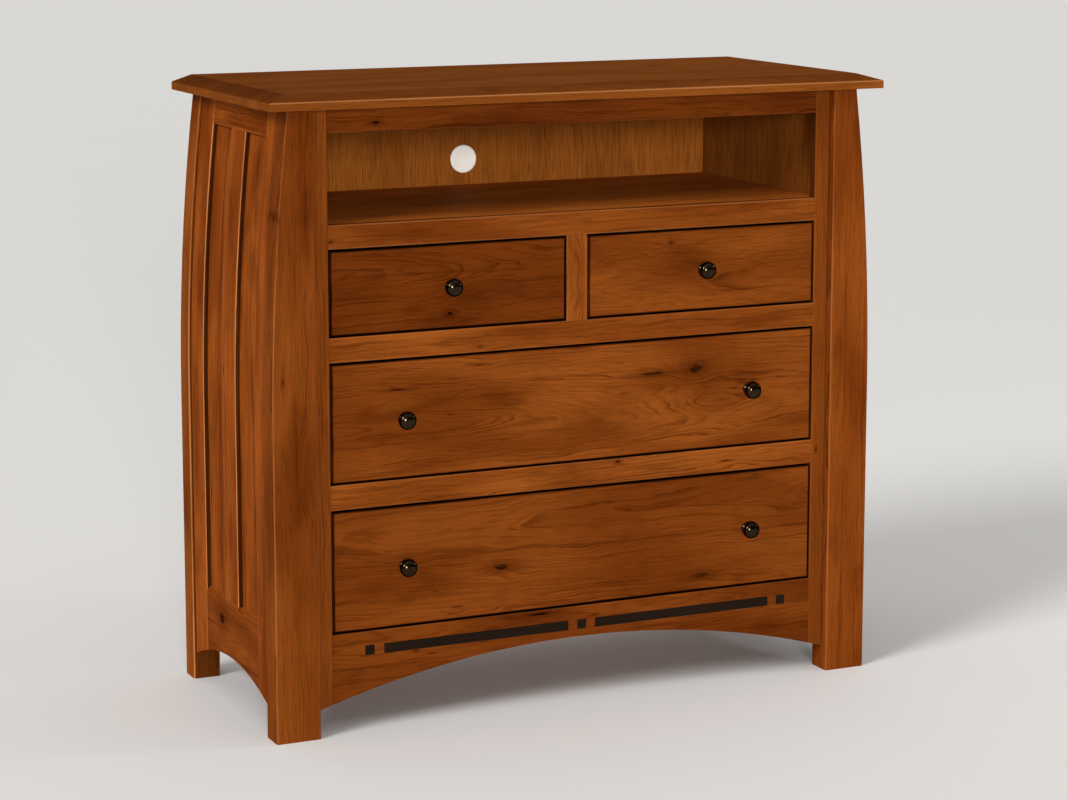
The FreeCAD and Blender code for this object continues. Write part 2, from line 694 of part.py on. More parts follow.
def channel(name, x, y, z, web_side):
    """A slide member bent to a channel, with its web at the low (0) or the high (1) end of x."""
    blank = box(f"{name}_bar", x, y, z)
    sign = "-" if web_side else "+"
    hollow = box(f"{name}_room", (f"{x[0]} {sign} slide_gauge", f"{x[1]} {sign} slide_gauge"), y,
                 (f"{z[0]} + slide_gauge", f"{z[1]} - slide_gauge"))
    return cut(name, blank, [hollow])


def make_slides(name, x, z):
    """The slides of one drawer, left and right: cabinet channels, middle members and runners."""
    middle = f"(({z[0]} + {z[1]}) / 2)"
    y = (f"{FACE} + front_thickness + slide_front_setback",
         f"{BACK_FRONT} - box_rear_room - slide_rear_setback")
    nest = "(slide_gauge + slide_clearance)"
    members = {"cabinet": [], "middle": [], "runner": []}
    spans = {"cabinet": ("0", "slide_thickness - slide_lip", "slide_height / 2"),
             "middle": (nest, f"slide_thickness - {nest}", f"slide_height / 2 - {nest}"),
             "runner": ("slide_lip", "slide_thickness", f"slide_height / 2 - 2 * {nest}")}
    for side, edge in enumerate(x):
        for kind, (near, far, half) in spans.items():
            reach = (f"({edge} + {near})", f"({edge} + {far})") if side == 0 else (
                f"({edge} - ({far}))", f"({edge} - ({near}))")
            web_side = 1 - side if kind == "runner" else side
            height = (f"({middle} - ({half}))", f"({middle} + ({half}))")
            members[kind].append(channel(f"{name}_{kind}_{side}", reach, y, height, web_side))
    node(group(f"{name}_middles_pair", members["middle"]), f"{name}_slide_middles")
    node(group(f"{name}_runners_pair", members["runner"]), f"{name}_slide_runners")
    return members["cabinet"]


def make_drawers():
    """Four drawers with their slides, and the cleats that carry the slides in the case."""
    left = f"(-{OPENING_X})"
    wide = (left, OPENING_X)
    wide_knobs = ("-knob_spread / 2", "knob_spread / 2")
    lower_z = ("apron_top_height", LOWER_RAIL)
    middle_z = (MIDDLE_OPENING, UPPER_RAIL)
    upper_z = (UPPER_OPENING, SHELF_RAIL)
    upper_left = (left, DIVIDER_LEFT)
    upper_right = (DIVIDER_RIGHT, OPENING_X)
    channels = []
    for name, x, z, tails, knob_places in (
            ("upper_left", upper_left, upper_z, "upper_tails", (f"({left} + {DIVIDER_LEFT}) / 2",)),
            ("upper_right", upper_right, upper_z, "upper_tails", (f"({DIVIDER_RIGHT} + {OPENING_X}) / 2",)),
            ("middle", wide, middle_z, "wide_tails", wide_knobs),
            ("lower", wide, lower_z, "wide_tails", wide_knobs)):
        make_drawer(name, x, z, tails, knob_places)
        channels += make_slides(name, x, z)
    node(group("channels", channels), "cabinet_slide_channels")
    cleat_y = (FACE_BACK, f"{BACK_FRONT} - box_rear_room - slide_rear_setback")
    cleats = []
    for number, (low, high) in enumerate((lower_z, middle_z, upper_z)):
        height = (f"({low} + {high} - cleat_height) / 2", f"({low} + {high} + cleat_height) / 2")
        cleat = box(f"cleat_{number}", (OPENING_X, WALL_X), cleat_y, height)
        cleats += [cleat, mirrored(f"cleat_twin_{number}", cleat)]
    for number, span in enumerate(((DIVIDER_LEFT, "divider_offset - partition_thickness / 2"),
                                   ("divider_offset + partition_thickness / 2", DIVIDER_RIGHT))):
        cleats.append(box(f"partition_cleat_{number}", span, cleat_y, height))
    node(group("cleats", cleats), "slide_cleats")


def check_document():
    """Stops if any object failed, or any sub-part is empty or not valid."""
    DOC.recompute()
    failed = [thing.Name for thing in DOC.Objects if "Invalid" in thing.State or "Error" in thing.State]
    if failed:
        raise RuntimeError(f"objects that failed: {failed}")
    for piece in NODES:
        if piece.Shape.isNull() or not piece.Shape.isValid() or not piece.Shape.Solids:
            raise RuntimeError(f"{piece.Label} has no valid solid")


def write_parts():
    """Writes each sub-part to its own file."""
    os.makedirs("parts", exist_ok=True)
    for piece in NODES:
        piece.Shape.exportStep(f"parts/{piece.Label}.step")


fill_sheet()
make_top()
make_legs()
make_sides()
make_face_frame()
make_apron()
make_inside()
make_outlet()
make_drawers()
check_document()
write_parts()
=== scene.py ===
import json
import math
import random

import bmesh
import bpy
from bpy.props import FloatProperty, FloatVectorProperty, IntProperty, PointerProperty
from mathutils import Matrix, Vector


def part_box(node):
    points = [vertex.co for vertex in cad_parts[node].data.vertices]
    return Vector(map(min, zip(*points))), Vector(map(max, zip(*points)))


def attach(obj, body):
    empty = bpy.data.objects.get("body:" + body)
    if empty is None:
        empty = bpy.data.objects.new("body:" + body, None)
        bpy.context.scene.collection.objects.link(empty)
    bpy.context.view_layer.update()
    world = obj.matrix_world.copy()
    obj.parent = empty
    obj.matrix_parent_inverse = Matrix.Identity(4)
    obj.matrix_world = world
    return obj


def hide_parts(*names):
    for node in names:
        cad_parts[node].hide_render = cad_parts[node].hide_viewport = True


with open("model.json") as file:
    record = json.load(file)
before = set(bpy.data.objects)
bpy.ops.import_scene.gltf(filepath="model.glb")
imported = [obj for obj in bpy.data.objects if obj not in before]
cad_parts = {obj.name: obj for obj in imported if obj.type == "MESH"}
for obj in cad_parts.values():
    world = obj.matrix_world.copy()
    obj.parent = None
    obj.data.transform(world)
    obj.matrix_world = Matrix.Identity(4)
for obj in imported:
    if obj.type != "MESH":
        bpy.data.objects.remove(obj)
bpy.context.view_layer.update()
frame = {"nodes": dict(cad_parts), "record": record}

bl_info = {
    "name": "Media chest",
    "version": (1, 0, 0),
    "blender": (4, 5, 0),
    "location": "3D View > Sidebar > Chest",
    "description": "Dresses the packed media chest in stained wood, steel, dark knobs and a studio",
    "category": "Object",
}

NODES = frame["nodes"]
RECORD = frame["record"]
SLOT_OF = {part["node"]: part["material_slot"] for part in RECORD["subparts"]}
BODY_OF = {node: body for body, nodes in RECORD["behaviour"]["bodies"].items() for node in nodes}
SIDES = ("left", "right")
DRAWERS = ("upper_left", "upper_right", "middle", "lower")
MM = 0.001
X, Y, Z = AXES = (0, 1, 2)

# The legs and sides bend inwards above this height, on this radius.
CURVE_START = 550 * MM
CURVE_RADIUS = 4500 * MM

# Pith of the log behind a board: how far across, how far behind the face, and how much that changes per
# metre. Boards that aren't listed draw theirs from the seeded ranges below, on either side.
PITH = {
    "top_panel": (0.010, 0.060, 0.020),
    "upper_left_drawer_front": (0.030, 0.050, 0.055),
    "upper_right_drawer_front": (-0.020, 0.045, -0.060),
    "middle_drawer_front": (-0.018, 0.050, 0.060),
    "lower_drawer_front": (0.062, 0.055, -0.045),
    "apron": (0.050, 0.050, 0.030),
}
STRAIGHT_PITH = ((0.055, 0.110), (0.015, 0.060), (-0.030, 0.030))

# How light a board is beside its neighbours, in tone and in painted light and shade. The listed ones were set
# to how bright each board looked where it stands, so the top rail under the top's overhang, the face stiles
# beside the legs, the apron and the left front leg carry painted shade, and the left side and the shelf carry
# painted light.
# Boards that aren't listed draw theirs from the seeded range, which is tone alone.
TONE_AND_PAINTED_LIGHT = {
    "upper_left_drawer_front": 0.52,
    "upper_right_drawer_front": 0.81,
    "middle_drawer_front": 0.88,
    "lower_drawer_front": 0.74,
    "face_upper_rail": 1.07,
    "face_lower_rail": 0.97,
    "face_shelf_rail": 0.84,
    "face_top_rail": 0.60,
    "face_stile_left": 0.78,
    "face_stile_right": 0.75,
    "drawer_divider": 1.08,
    "apron": 0.66,
    "media_shelf": 1.95,
    "inner_walls": 0.92,
    "back_panel": 0.96,
    "top_panel": 0.86,
    "front_leg_left": 0.80,
    "front_leg_right": 0.90,
    "side_stiles_left": 1.22,
    "side_panels_left": 1.18,
    "side_top_rail_left": 1.2,
    "side_bottom_rail_left": 1.02,
}
TONE_RANGE = (0.94, 1.06)

# A deeper stain takes away more green and blue than red, and so does the painted shade in the tones. The
# first is how yellow a board is, by a part of its name; where none is given it is as yellow as its tone with
# its painted light, up to one. The others are the powers of it for green and blue.
WARMTH = {"side_": 0.75, "top_panel": 1.3, "media_shelf": 1.3, "front_leg_right": 0.7}
GREEN_POWER = 0.27
BLUE_POWER = 0.47

# How strongly a board's figure shows beside that of its neighbours, by a part of its name.
CONTRAST = {
    "top_panel": 0.55,
    "side_": 1.2,
    "media_shelf": 0.6,
    "_leg_": 0.95,
    "face_stile": 0.55,
    "upper_left_drawer_front": 0.80,
    "upper_right_drawer_front": 0.80,
    "lower_drawer_front": 0.85,
}

# How much painted light and shade a board's narrow faces and arrises get, by a part of its name: painted
# shade on its narrow faces, where gaps, recesses and steps between parts fall into shade, the same painted
# shade on its arrises, which draws the drawer fronts' gaps as dark lines, and a painted highlight on its long
# arrises.
EDGE_LIGHT_AND_SHADE = {
    "drawer_front": (1.0, 0.95, 0.0),
    "side_stiles": (0.88, 0.0, 0.85),
    "side_panels": (0.0, 0.0, 0.0),
    "face_stile": (0.6, 0.0, 0.12),
    "face_shelf_rail": (0.0, 0.0, 0.40),
    "_rail": (0.9, 0.0, 0.16),
    "apron": (0.9, 0.0, 0.12),
    "drawer_divider": (0.9, 0.0, 0.16),
    "rear_leg": (0.6, 0.0, 0.8),
    "front_leg": (0.0, 0.0, 0.6),
    "top_panel": (0.0, 0.0, 0.70),
}
PLAIN_EDGE_LIGHT_AND_SHADE = (0.2, 0.0, 0.2)

# Boards with painted shadow along the edge that meets a leg, where the leg would shade them, and how much of
# it.
PAINTED_LEG_SHADOW = {"face_stile_left": 0.85, "face_stile_right": 0.6}

# The top's upright edge reaches this high, to its arris with the painted highlight. Its ends were sanded
# until they took no more stain than its face. Its bevels, whose normals rise within these limits, are
# darkened by this much, and more across the grain.
TOP_EDGE = 13.5 * MM
BEVEL_RISE = (0.5, 0.99)
BEVEL_DARKENING = 0.24

# Boards whose front and back count as their narrow faces, so that the painted shade of narrow faces lies on
# the rear legs' front faces.
DEPTH_FIRST = ("rear_leg_left", "rear_leg_right")

# Knots and mineral streaks that show, up to six on a board: their place in the chest and half their
# height, in millimetres, and how many times longer than high they are. Where the height is negative the
# knot lies below the surface, and only the swirl round it shows.
KNOTS = {
    "middle_drawer_front": (
        (236, -221, 602, 8.5, 1.7), (146, -221, 599, 3.2, 9.0), (282, -221, 538, -10.0, 4.5),
        (-354, -221, 609, 1.8, 10.0), (-199, -221, 642, 1.7, 9.0), (-271, -221, 583, -7.0, 3.0)),
    "lower_drawer_front": (
        (-156, -221, 270, 6.2, 3.0), (249, -221, 211, 4.8, 5.0), (-411, -221, 255, -6.0, 3.0)),
    "upper_right_drawer_front": ((182, -221, 838, 3.2, 1.2), (205, -221, 806, -12.0, 2.0)),
    "upper_left_drawer_front": (
        (-255, -221, 738, 4.4, 1.6), (-325, -221, 748, -4.5, 2.2), (-170, -221, 780, -9.0, 3.0)),
    "face_upper_rail": ((-197, -221, 674, 1.5, 4.0),),
    "face_shelf_rail": ((-478, -221, 876, 2.2, 1.5),),
    "face_stile_right": ((493, -221, 428, 1.8, 2.0),),
    "face_lower_rail": ((77, -221, 442, 3.0, 1.6), (300, -221, 424, 1.3, 6.0)),
    "face_top_rail": ((-393, -221, 1079, 3.2, 2.6),),
    "drawer_divider": ((-7, -221, 806, -8.0, 2.0), (-5, -221, 752, -6.0, 1.6)),
    "side_bottom_rail_left": ((-588, 66, 154, 15.0, 1.1),),
    "front_leg_left": ((-532, -238, 480, -17.0, 2.2), (-575, -238, 640, 1.6, 3.0)),
    "side_panels_left": ((-579, -112, 795, 2.4, 7.0),),
    "apron": ((-81, -221, 174, 3.6, 9.0), (-324, -221, 134, 2.2, 1.6)),
    "top_panel": ((310, 90, 1134, 5.0, 2.0), (-180, -60, 1134, 2.5, 4.0)),
    "side_panels_right": ((579, 90, 520, 5.0, 2.0),),
    "rear_leg_right": ((594, 234, 420, 5.0, 2.0),),
}
KNOT_NAMES = ("knot_one", "knot_two", "knot_three", "knot_four", "knot_five", "knot_six")
STRETCH_NAMES = ("stretch", "stretch_more")

# A knot in multiples of half its height: where its dark core and its soft halo fade, how ragged the
# core's rim is, and how far it pushes the growth rings aside. The push falls by this share with the
# square of the distance.
CORE_FADE = (0.45, 0.95)
HALO_FADE = (0.5, 3.6)
RAGGED_RIM = 0.9
RING_PUSH = 1.9
PUSH_FALL = 0.82
LEAST_KNOT = 0.01 * MM

# How dark a halo is beside its knot, how dark one is with its knot below the surface, and a core's own
# streaks.
HALO_SHARE = 0.55
HIDDEN_HALO = 0.55
CORE_STREAKS = 1.4
CORE_SHARE = 0.78

# Noises of the board figure: lumps per metre along and across the grain, then detail and roughness.
FIGURE_NOISE = {
    "slow": (1.5, 6.0, 1.0, 0.5),
    "sway": (4.0, 19.0, 2.0, 0.5),
    "ripple": (18.0, 160.0, 1.0, 0.5),
    "curl": (10.0, 42.0, 1.0, 0.5),
    "ragged": (70.0, 260.0, 2.0, 0.5),
    "fibre": (14.0, 330.0, 2.0, 0.6),
    "broken": (7.0, 60.0, 1.0, 0.5),
    "pores": (30.0, 900.0, 0.0, 0.5),
    "streaks": (3.6, 75.0, 1.0, 0.5),
    "patches": (3.2, 11.0, 1.0, 0.5),
    "clouds": (8.0, 24.0, 2.0, 0.5),
}

# Where a noise begins to show as marks in the wood, and where the marks show in full.
FIGURE_MARKS = {
    "broken": (-0.20, 0.16),
    "pores": (0.12, 0.24),
    "streaks": (0.10, 0.30),
    "patches": (-0.16, 0.18),
    "clouds": (0.04, 0.24),
}
CLOUD_SHARE = 0.42

# A strip wider than any board, for boards that aren't glued up.
ONE_BOARD = 10.0

# Strips of a glued-up board: how far the seed moves from one to the next, how a seed moves the noises,
# and how the pith swings from side to side, in radians for each strip and metres.
STRIP_SEED = 0.613
SEED_SHIFT = (31.7, 17.3, 11.9)
PITH_SWING = 2.1
PITH_SWING_WIDTH = 0.03

# Growth rings: how far the pith line sways and the rings curl and ripple, in metres, and how unevenly wide
# they are. A seed moves the widths and the shades by its own amounts.
PITH_SWAY = 0.027
RING_CURL = 0.014
RING_RIPPLE = 0.0016
UNEVEN_RINGS = 1.8
UNEVEN_SCALE = 0.55
UNEVEN_SEED = 7.0
RING_SEED = 57.0

# A ring darkens through the first part of its width and ends in the second; the faintest and the broken
# ones are this dark.
LATE_RISE = (0.30, 0.90)
LATE_END = (0.90, 1.0)
FAINT_RING = 0.25
BROKEN_RING = 0.3

# Flecks: cells per metre along, across and through a board, how they waver, which of them hold a fleck,
# and the fleck's size in its cell.
FLECK_CELLS = (9.0, 46.0, 0.4)
FLECK_WAVER = 0.006
FLECK_CHOICE = (0.60, 0.90)
FLECK_FADE = (0.03, 0.16)

# Ends and arrises: slant at which end grain shows and shows in full, width of the finished arris and how
# it wavers, and the share of a board's half width past which a face counts as narrow.
END_SLANT = (0.05, 0.40)
ARRIS_WIDTH = 0.0032
ARRIS_WAVER = 0.003
NARROW_FACE = 0.999

# Roughness of the wood, and what its fibre and marks add to that and to its relief.
WOOD_ROUGHNESS = 0.46
ROUGHNESS_SHARE = {"fibre": 0.16, "pores": 0.10, "patches": 0.05}
RELIEF_SHARE = {"fibre": 0.5, "pores": -0.8, "late": -0.35, "core": -0.6}

# The woods: their stains from the chest's look, how much of each kind of figure they show, how wide their
# rings are and how far these wander in metres, their gloss, and the height of their relief in metres.
# The Edge stain is the colour of the painted highlight on the arrises, and the Pore stain also that of the
# painted shade in gaps.
STAINS = ("Light", "Middle", "Dark", "Pore", "Edge")
WOOD_STAINS = {
    "stained_wood": ("stain_light", "stain_middle", "stain_dark", "stain_pore", "stain_edge"),
    "plywood": ("veneer_light", "veneer_middle", "veneer_dark", "stain_pore", "veneer_light"),
    "drawer_wood": ("drawer_light", "drawer_middle", "drawer_dark", "drawer_dark", "drawer_light"),
    "dark_inlay": ("inlay_light", "inlay_dark", "inlay_dark", "inlay_dark", "inlay_light"),
}
# Edges is how strongly the long arrises carry the painted highlight.
FIGURE = ("Rings", "Streaks", "Pores", "Fibre", "Flecks", "Patches", "Knots", "Ends", "Edges")
WOOD_FIGURE = {
    "stained_wood": (0.78, 0.50, 0.32, 0.40, 0.80, 0.90, 1.0, 0.6, 1.0),
    "plywood": (0.45, 0.18, 0.40, 1.3, 0.0, 0.45, 0.0, 0.2, 0.0),
    "drawer_wood": (0.42, 0.28, 0.22, 0.40, 0.25, 0.7, 0.6, 0.85, 0.12),
    "dark_inlay": (0.7, 0.6, 0.6, 0.40, 0.0, 0.6, 0.0, 0.2, 0.0),
}
WOOD_RINGS = {"plywood": (0.0038, 0.012), "drawer_wood": (0.0048, 0.03), "dark_inlay": (0.0030, 0.02)}
WOOD_SPECULAR = {"stained_wood": 0.002, "plywood": 0.03, "drawer_wood": 0.25, "dark_inlay": 0.05}
WOOD_RELIEF = {"stained_wood": 0.00012, "plywood": 0.00008, "drawer_wood": 0.00008, "dark_inlay": 0.00005}

# The metals and the plastic: specks per metre, how short their scratches are, what each kind of wear adds
# to the shade and to the roughness, and the kind that stands in relief with its height in metres.
ZINC = {
    "speckle_size": 420.0,
    "shade": {"Speckle": 0.35, "Smears": 0.25},
    "roughness": 0.34,
    "gloss": {"Scratches": 0.25, "Smears": 0.20},
    "relief": ("Scratches", 0.00004),
    "metallic": 1.0,
}
HANDLED = {
    "slide_steel": {**ZINC, "scratch_length": 14.0},
    "screw_steel": {**ZINC, "scratch_length": 300.0},
    "knob_metal": {
        "speckle_size": 900.0,
        "scratch_length": 900.0,
        "shade": {"Smears": 1.1, "Speckle": 0.5},
        "roughness": 0.15,
        "gloss": {"Smears": 0.12, "Speckle": 0.05},
        "relief": ("Speckle", 0.00002),
        "metallic": 1.0,
    },
    "outlet_plastic": {
        "speckle_size": 2200.0,
        "scratch_length": 2000.0,
        "shade": {"Smears": 0.07, "Speckle": 0.05},
        "roughness": 0.42,
        "gloss": {"Speckle": 0.15, "Smears": 0.15},
        "relief": ("Speckle", 0.00003),
        "metallic": 0.0,
    },
}
SCRATCH_LUMPS = (2600.0, 1.0, 2600.0)
SMEAR_LUMPS = (55.0, 30.0, 55.0)

# Corners of a CAD mesh closer than the first are one, as are those of a spun pole within the second, and
# faces that meet flatter than the angle are one face.
WELD = 0.002 * MM
POLE_WELD = 0.005 * MM
FLAT_ANGLE = math.radians(0.05)

# A knob's bead, neck and head, as shares of their radius and of the knob's height, and how often its mesh is
# divided to round it.
KNOB_BEAD = ((0.0, 0.0), (0.9, 0.0), (1.0, 0.05), (0.9, 0.12))
KNOB_NECK = ((1.0, 0.20), (1.0, 0.38))
KNOB_HEAD = ((0.64, 0.46), (0.95, 0.53), (1.0, 0.66), (0.93, 0.81), (0.70, 0.93), (0.36, 0.99), (0.0, 1.0))
KNOB_ROUNDING = 2

# A screw: radius of its shank, height of its head, the two steps of the head's dome, the reach of the
# cross and of its middle as shares of the head's radius, and half the angle of an arm.
SCREW_SHANK = 1.9 * MM
SCREW_HEAD = 3.0 * MM
SCREW_BRIM = 1.2 * MM
SCREW_CROWN = 0.2 * MM
CROWN_SHARE = 0.80
CROSS_REACH = 0.56
CROSS_MIDDLE = 0.20
CROSS_ARM = math.pi / 8
SCREW_ANGLE = math.radians(40)
SCREW_STEPS = 16

# The outlet's cap: shares of its radius where its dish begins to rise and is nearly out, how deep it
# still is there, and how far in the middle of its rounded rim lies.
DISH_FLAT = 0.55
DISH_RISE = 0.74
DISH_LEFT = 0.4
RIM_POINT = 0.3
OUTLET_STEPS = 64

# Where the suns stand, the softboxes with their size and power, and what both are aimed at.
SUNS = {"key": (-4.015, -1.622, 3.05), "fill": (-1.534, -4.720, 1.159)}
SUN_TARGET = (0, 0, 0.55)
SOFTBOXES = {
    "right_softbox": ((3.6, -1.35, 1.95), 0.30, 16.0),
    "left_softbox": ((-3.4, -2.2, 1.9), 0.20, 6.0),
}
SOFTBOX_TARGET = (0, -0.2, 0.6)

# The studio's colour, how fast it brightens upwards, the faint clouds of its floor, and the camera's
# frame.
STUDIO_COLOUR = (1.0, 0.985, 0.96)
SKY_POWER = 1.5
FLOOR_LUMPS = 0.9
FLOOR_CLOUDS = 0.015
FLOOR_ROUGHNESS = 0.9
FLOOR_SIDES = 96
FRAME_WIDTH = 36.0
CAMERA_REACH = 200.0


class Tree:
    """Writes nodes into one shader tree; a value may be a plain number or another node's socket."""

    def __init__(self, tree):
        self.tree = tree

    def add(self, kind, inputs=(), **settings):
        """Makes a node, sets it and feeds its inputs."""
        node = self.tree.nodes.new(kind)
        for key, value in settings.items():
            setattr(node, key, value)
        for key, value in dict(inputs).items():
            self.feed(node.inputs[key], value)
        return node

    def feed(self, socket, value):
        if isinstance(value, bpy.types.NodeSocket):
            self.tree.links.new(value, socket)
        else:
            socket.default_value = value

    def math(self, operation, *values, clamp=False):
        return self.add("ShaderNodeMath", enumerate(values), operation=operation, use_clamp=clamp).outputs[0]

    def chain(self, operation, first, *others):
        for other in others:
            first = self.math(operation, first, other)
        return first

    def total(self, *values):
        return self.chain("ADD", *values)

    def product(self, *values):
        return self.chain("MULTIPLY", *values)

    def weigh(self, base, *shares):
        """A base plus each value times its weight."""
        return self.total(base, *(self.product(value, weight) for value, weight in shares))

    def at_least(self, value, least):
        """Raises a mask, so that it runs from this much to 1."""
        return self.math("MULTIPLY_ADD", value, 1.0 - least, least)

    def length(self, *sides):
        return self.math("SQRT", self.total(*(self.product(side, side) for side in sides)))

    def vector(self, operation, *values):
        return self.add("ShaderNodeVectorMath", enumerate(values), operation=operation).outputs[0]

    def scaled(self, vector, factor):
        values = {0: vector, "Scale": factor}
        return self.add("ShaderNodeVectorMath", values, operation="SCALE").outputs[0]

    def split(self, vector):
        return self.add("ShaderNodeSeparateXYZ", {"Vector": vector}).outputs[:]

    def join(self, x, y, z):
        return self.add("ShaderNodeCombineXYZ", {"X": x, "Y": y, "Z": z}).outputs[0]

    def attribute(self, name, output="Vector"):
        return self.add("ShaderNodeAttribute", attribute_name=name).outputs[output]

    def noise(self, vector, lumps, detail, roughness=0.5):
        """Noise with its own number of lumps per metre along each axis, centred on zero."""
        place = self.vector("MULTIPLY", vector, lumps)
        values = {"Vector": place, "Scale": 1.0, "Detail": detail, "Roughness": roughness}
        return self.math("SUBTRACT", self.add("ShaderNodeTexNoise", values).outputs["Fac"], 0.5)

    def step(self, value, low, high):
        """Rises smoothly from 0 at low to 1 at high."""
        values = {"Value": value, "From Min": low, "From Max": high}
        return self.add("ShaderNodeMapRange", values, interpolation_type="SMOOTHSTEP").outputs["Result"]

    def fade(self, value, low, high):
        """Falls smoothly from 1 at low to 0 at high."""
        return self.math("SUBTRACT", 1.0, self.step(value, low, high))

    def mix(self, share, first, second):
        return self.add("ShaderNodeMix", {0: share, 6: first, 7: second}, data_type="RGBA").outputs[2]


def new_group(name, inputs, outputs):
    """Makes an empty shader node group and returns its tree writer, its input sockets and its output node."""
    group = bpy.data.node_groups.new(name, "ShaderNodeTree")
    kinds = {"value": "NodeSocketFloat", "colour": "NodeSocketColor"}
    for way, sockets in (("INPUT", inputs), ("OUTPUT", outputs)):
        for socket, kind in sockets.items():
            group.interface.new_socket(socket, in_out=way, socket_type=kinds[kind])
    tree = Tree(group)
    return tree, tree.add("NodeGroupInput").outputs, tree.add("NodeGroupOutput")


def knot_masks(tree, name, stretch, along, across, noise):
    """Dark core, soft halo and push on the growth rings of one knot, from its attribute and its stretch."""
    knot_along, knot_across, size = tree.split(tree.attribute(name))
    reach = tree.math("MAXIMUM", tree.math("ABSOLUTE", size), LEAST_KNOT)
    run = tree.math("DIVIDE", tree.math("SUBTRACT", along, knot_along), tree.product(reach, stretch))
    rise = tree.math("DIVIDE", tree.math("SUBTRACT", across, knot_across), reach)
    distance = tree.total(tree.length(run, rise), noise["sway"])
    shown = tree.math("GREATER_THAN", size, 0.0)
    rim = tree.weigh(distance, (noise["ragged"], RAGGED_RIM))
    core = tree.product(tree.fade(rim, *CORE_FADE), shown)
    halo = tree.product(tree.fade(distance, *HALO_FADE), tree.at_least(shown, HIDDEN_HALO))
    fall = tree.math("POWER", PUSH_FALL, tree.product(distance, distance))
    return core, halo, tree.product(fall, reach, RING_PUSH)


def all_knots(tree, along, across, noise):
    """Cores, halos and pushes of a board's knots, taken together."""
    stretches = [stretch for name in STRETCH_NAMES for stretch in tree.split(tree.attribute(name))]
    knots = [knot_masks(tree, name, stretch, along, across, noise)
             for name, stretch in zip(KNOT_NAMES, stretches)]
    cores, halos, pushes = zip(*knots)
    streaks = tree.math("MULTIPLY_ADD", noise["ripple"], CORE_STREAKS, CORE_SHARE, clamp=True)
    core = tree.product(tree.chain("MAXIMUM", *cores), streaks)
    return core, tree.chain("MAXIMUM", *halos), tree.total(*pushes)


def late_wood(tree, given, index, log, grain, noise, broken, push):
    """Dark late wood of the growth rings, which stand round a pith line that wanders along the board."""
    along, across, through = grain
    pith_across, pith_depth, taper = tree.split(tree.attribute("pith"))
    swing = tree.math("SINE", tree.product(index, PITH_SWING))
    side = tree.weigh(across, (pith_across, -1.0), (swing, PITH_SWING_WIDTH), (noise["sway"], PITH_SWAY))
    depth = tree.weigh(tree.total(through, pith_depth), (taper, along), (noise["slow"], given["Wave"]))
    radius = tree.total(tree.length(side, depth), push)
    radius = tree.weigh(radius, (noise["curl"], RING_CURL), (noise["ripple"], RING_RIPPLE))
    turns = tree.math("DIVIDE", radius, given["Ring width"])
    values = {"W": tree.weigh(turns, (log, UNEVEN_SEED)), "Scale": UNEVEN_SCALE, "Detail": 1.0}
    uneven = tree.add("ShaderNodeTexNoise", values, noise_dimensions="1D").outputs["Fac"]
    turns = tree.weigh(turns, (uneven, UNEVEN_RINGS))
    part = tree.math("FRACT", turns)
    late = tree.product(tree.step(part, *LATE_RISE), tree.fade(part, *LATE_END))
    values = {"W": tree.weigh(tree.math("FLOOR", turns), (log, RING_SEED))}
    ring = tree.add("ShaderNodeTexWhiteNoise", values, noise_dimensions="1D").outputs["Value"]
    return tree.product(late, tree.at_least(ring, FAINT_RING), tree.at_least(broken, BROKEN_RING))


def fleck_mask(tree, place, ripple):
    """Short dark flecks in some of the cells that lie along the grain."""
    waver = tree.join(0.0, tree.product(ripple, FLECK_WAVER), 0.0)
    cells = tree.vector("MULTIPLY", tree.vector("ADD", place, waver), FLECK_CELLS)
    cell = tree.add("ShaderNodeTexVoronoi", {"Vector": cells, "Scale": 1.0}, voronoi_dimensions="3D")
    chosen = tree.step(tree.split(cell.outputs["Color"])[0], *FLECK_CHOICE)
    return tree.product(tree.fade(cell.outputs["Distance"], *FLECK_FADE), chosen)


def edge_masks(tree, sway):
    """A board's narrow faces, all its arrises and its long arrises, from its place within its box."""
    shares = tree.split(tree.vector("ABSOLUTE", tree.attribute("place")))
    halves = tree.split(tree.attribute("half"))
    end, side, face = [tree.product(tree.math("SUBTRACT", 1.0, share), half)
                       for share, half in zip(shares, halves)]
    nearer, further = tree.math("MINIMUM", end, side), tree.math("MAXIMUM", end, side)
    second = tree.math("MAXIMUM", nearer, tree.math("MINIMUM", further, face))
    arris, long_arris = [tree.fade(tree.weigh(gap, (sway, ARRIS_WAVER)), 0.0, ARRIS_WIDTH)
                         for gap in (second, tree.math("MAXIMUM", side, face))]
    return tree.math("GREATER_THAN", shares[1], NARROW_FACE), arris, long_arris


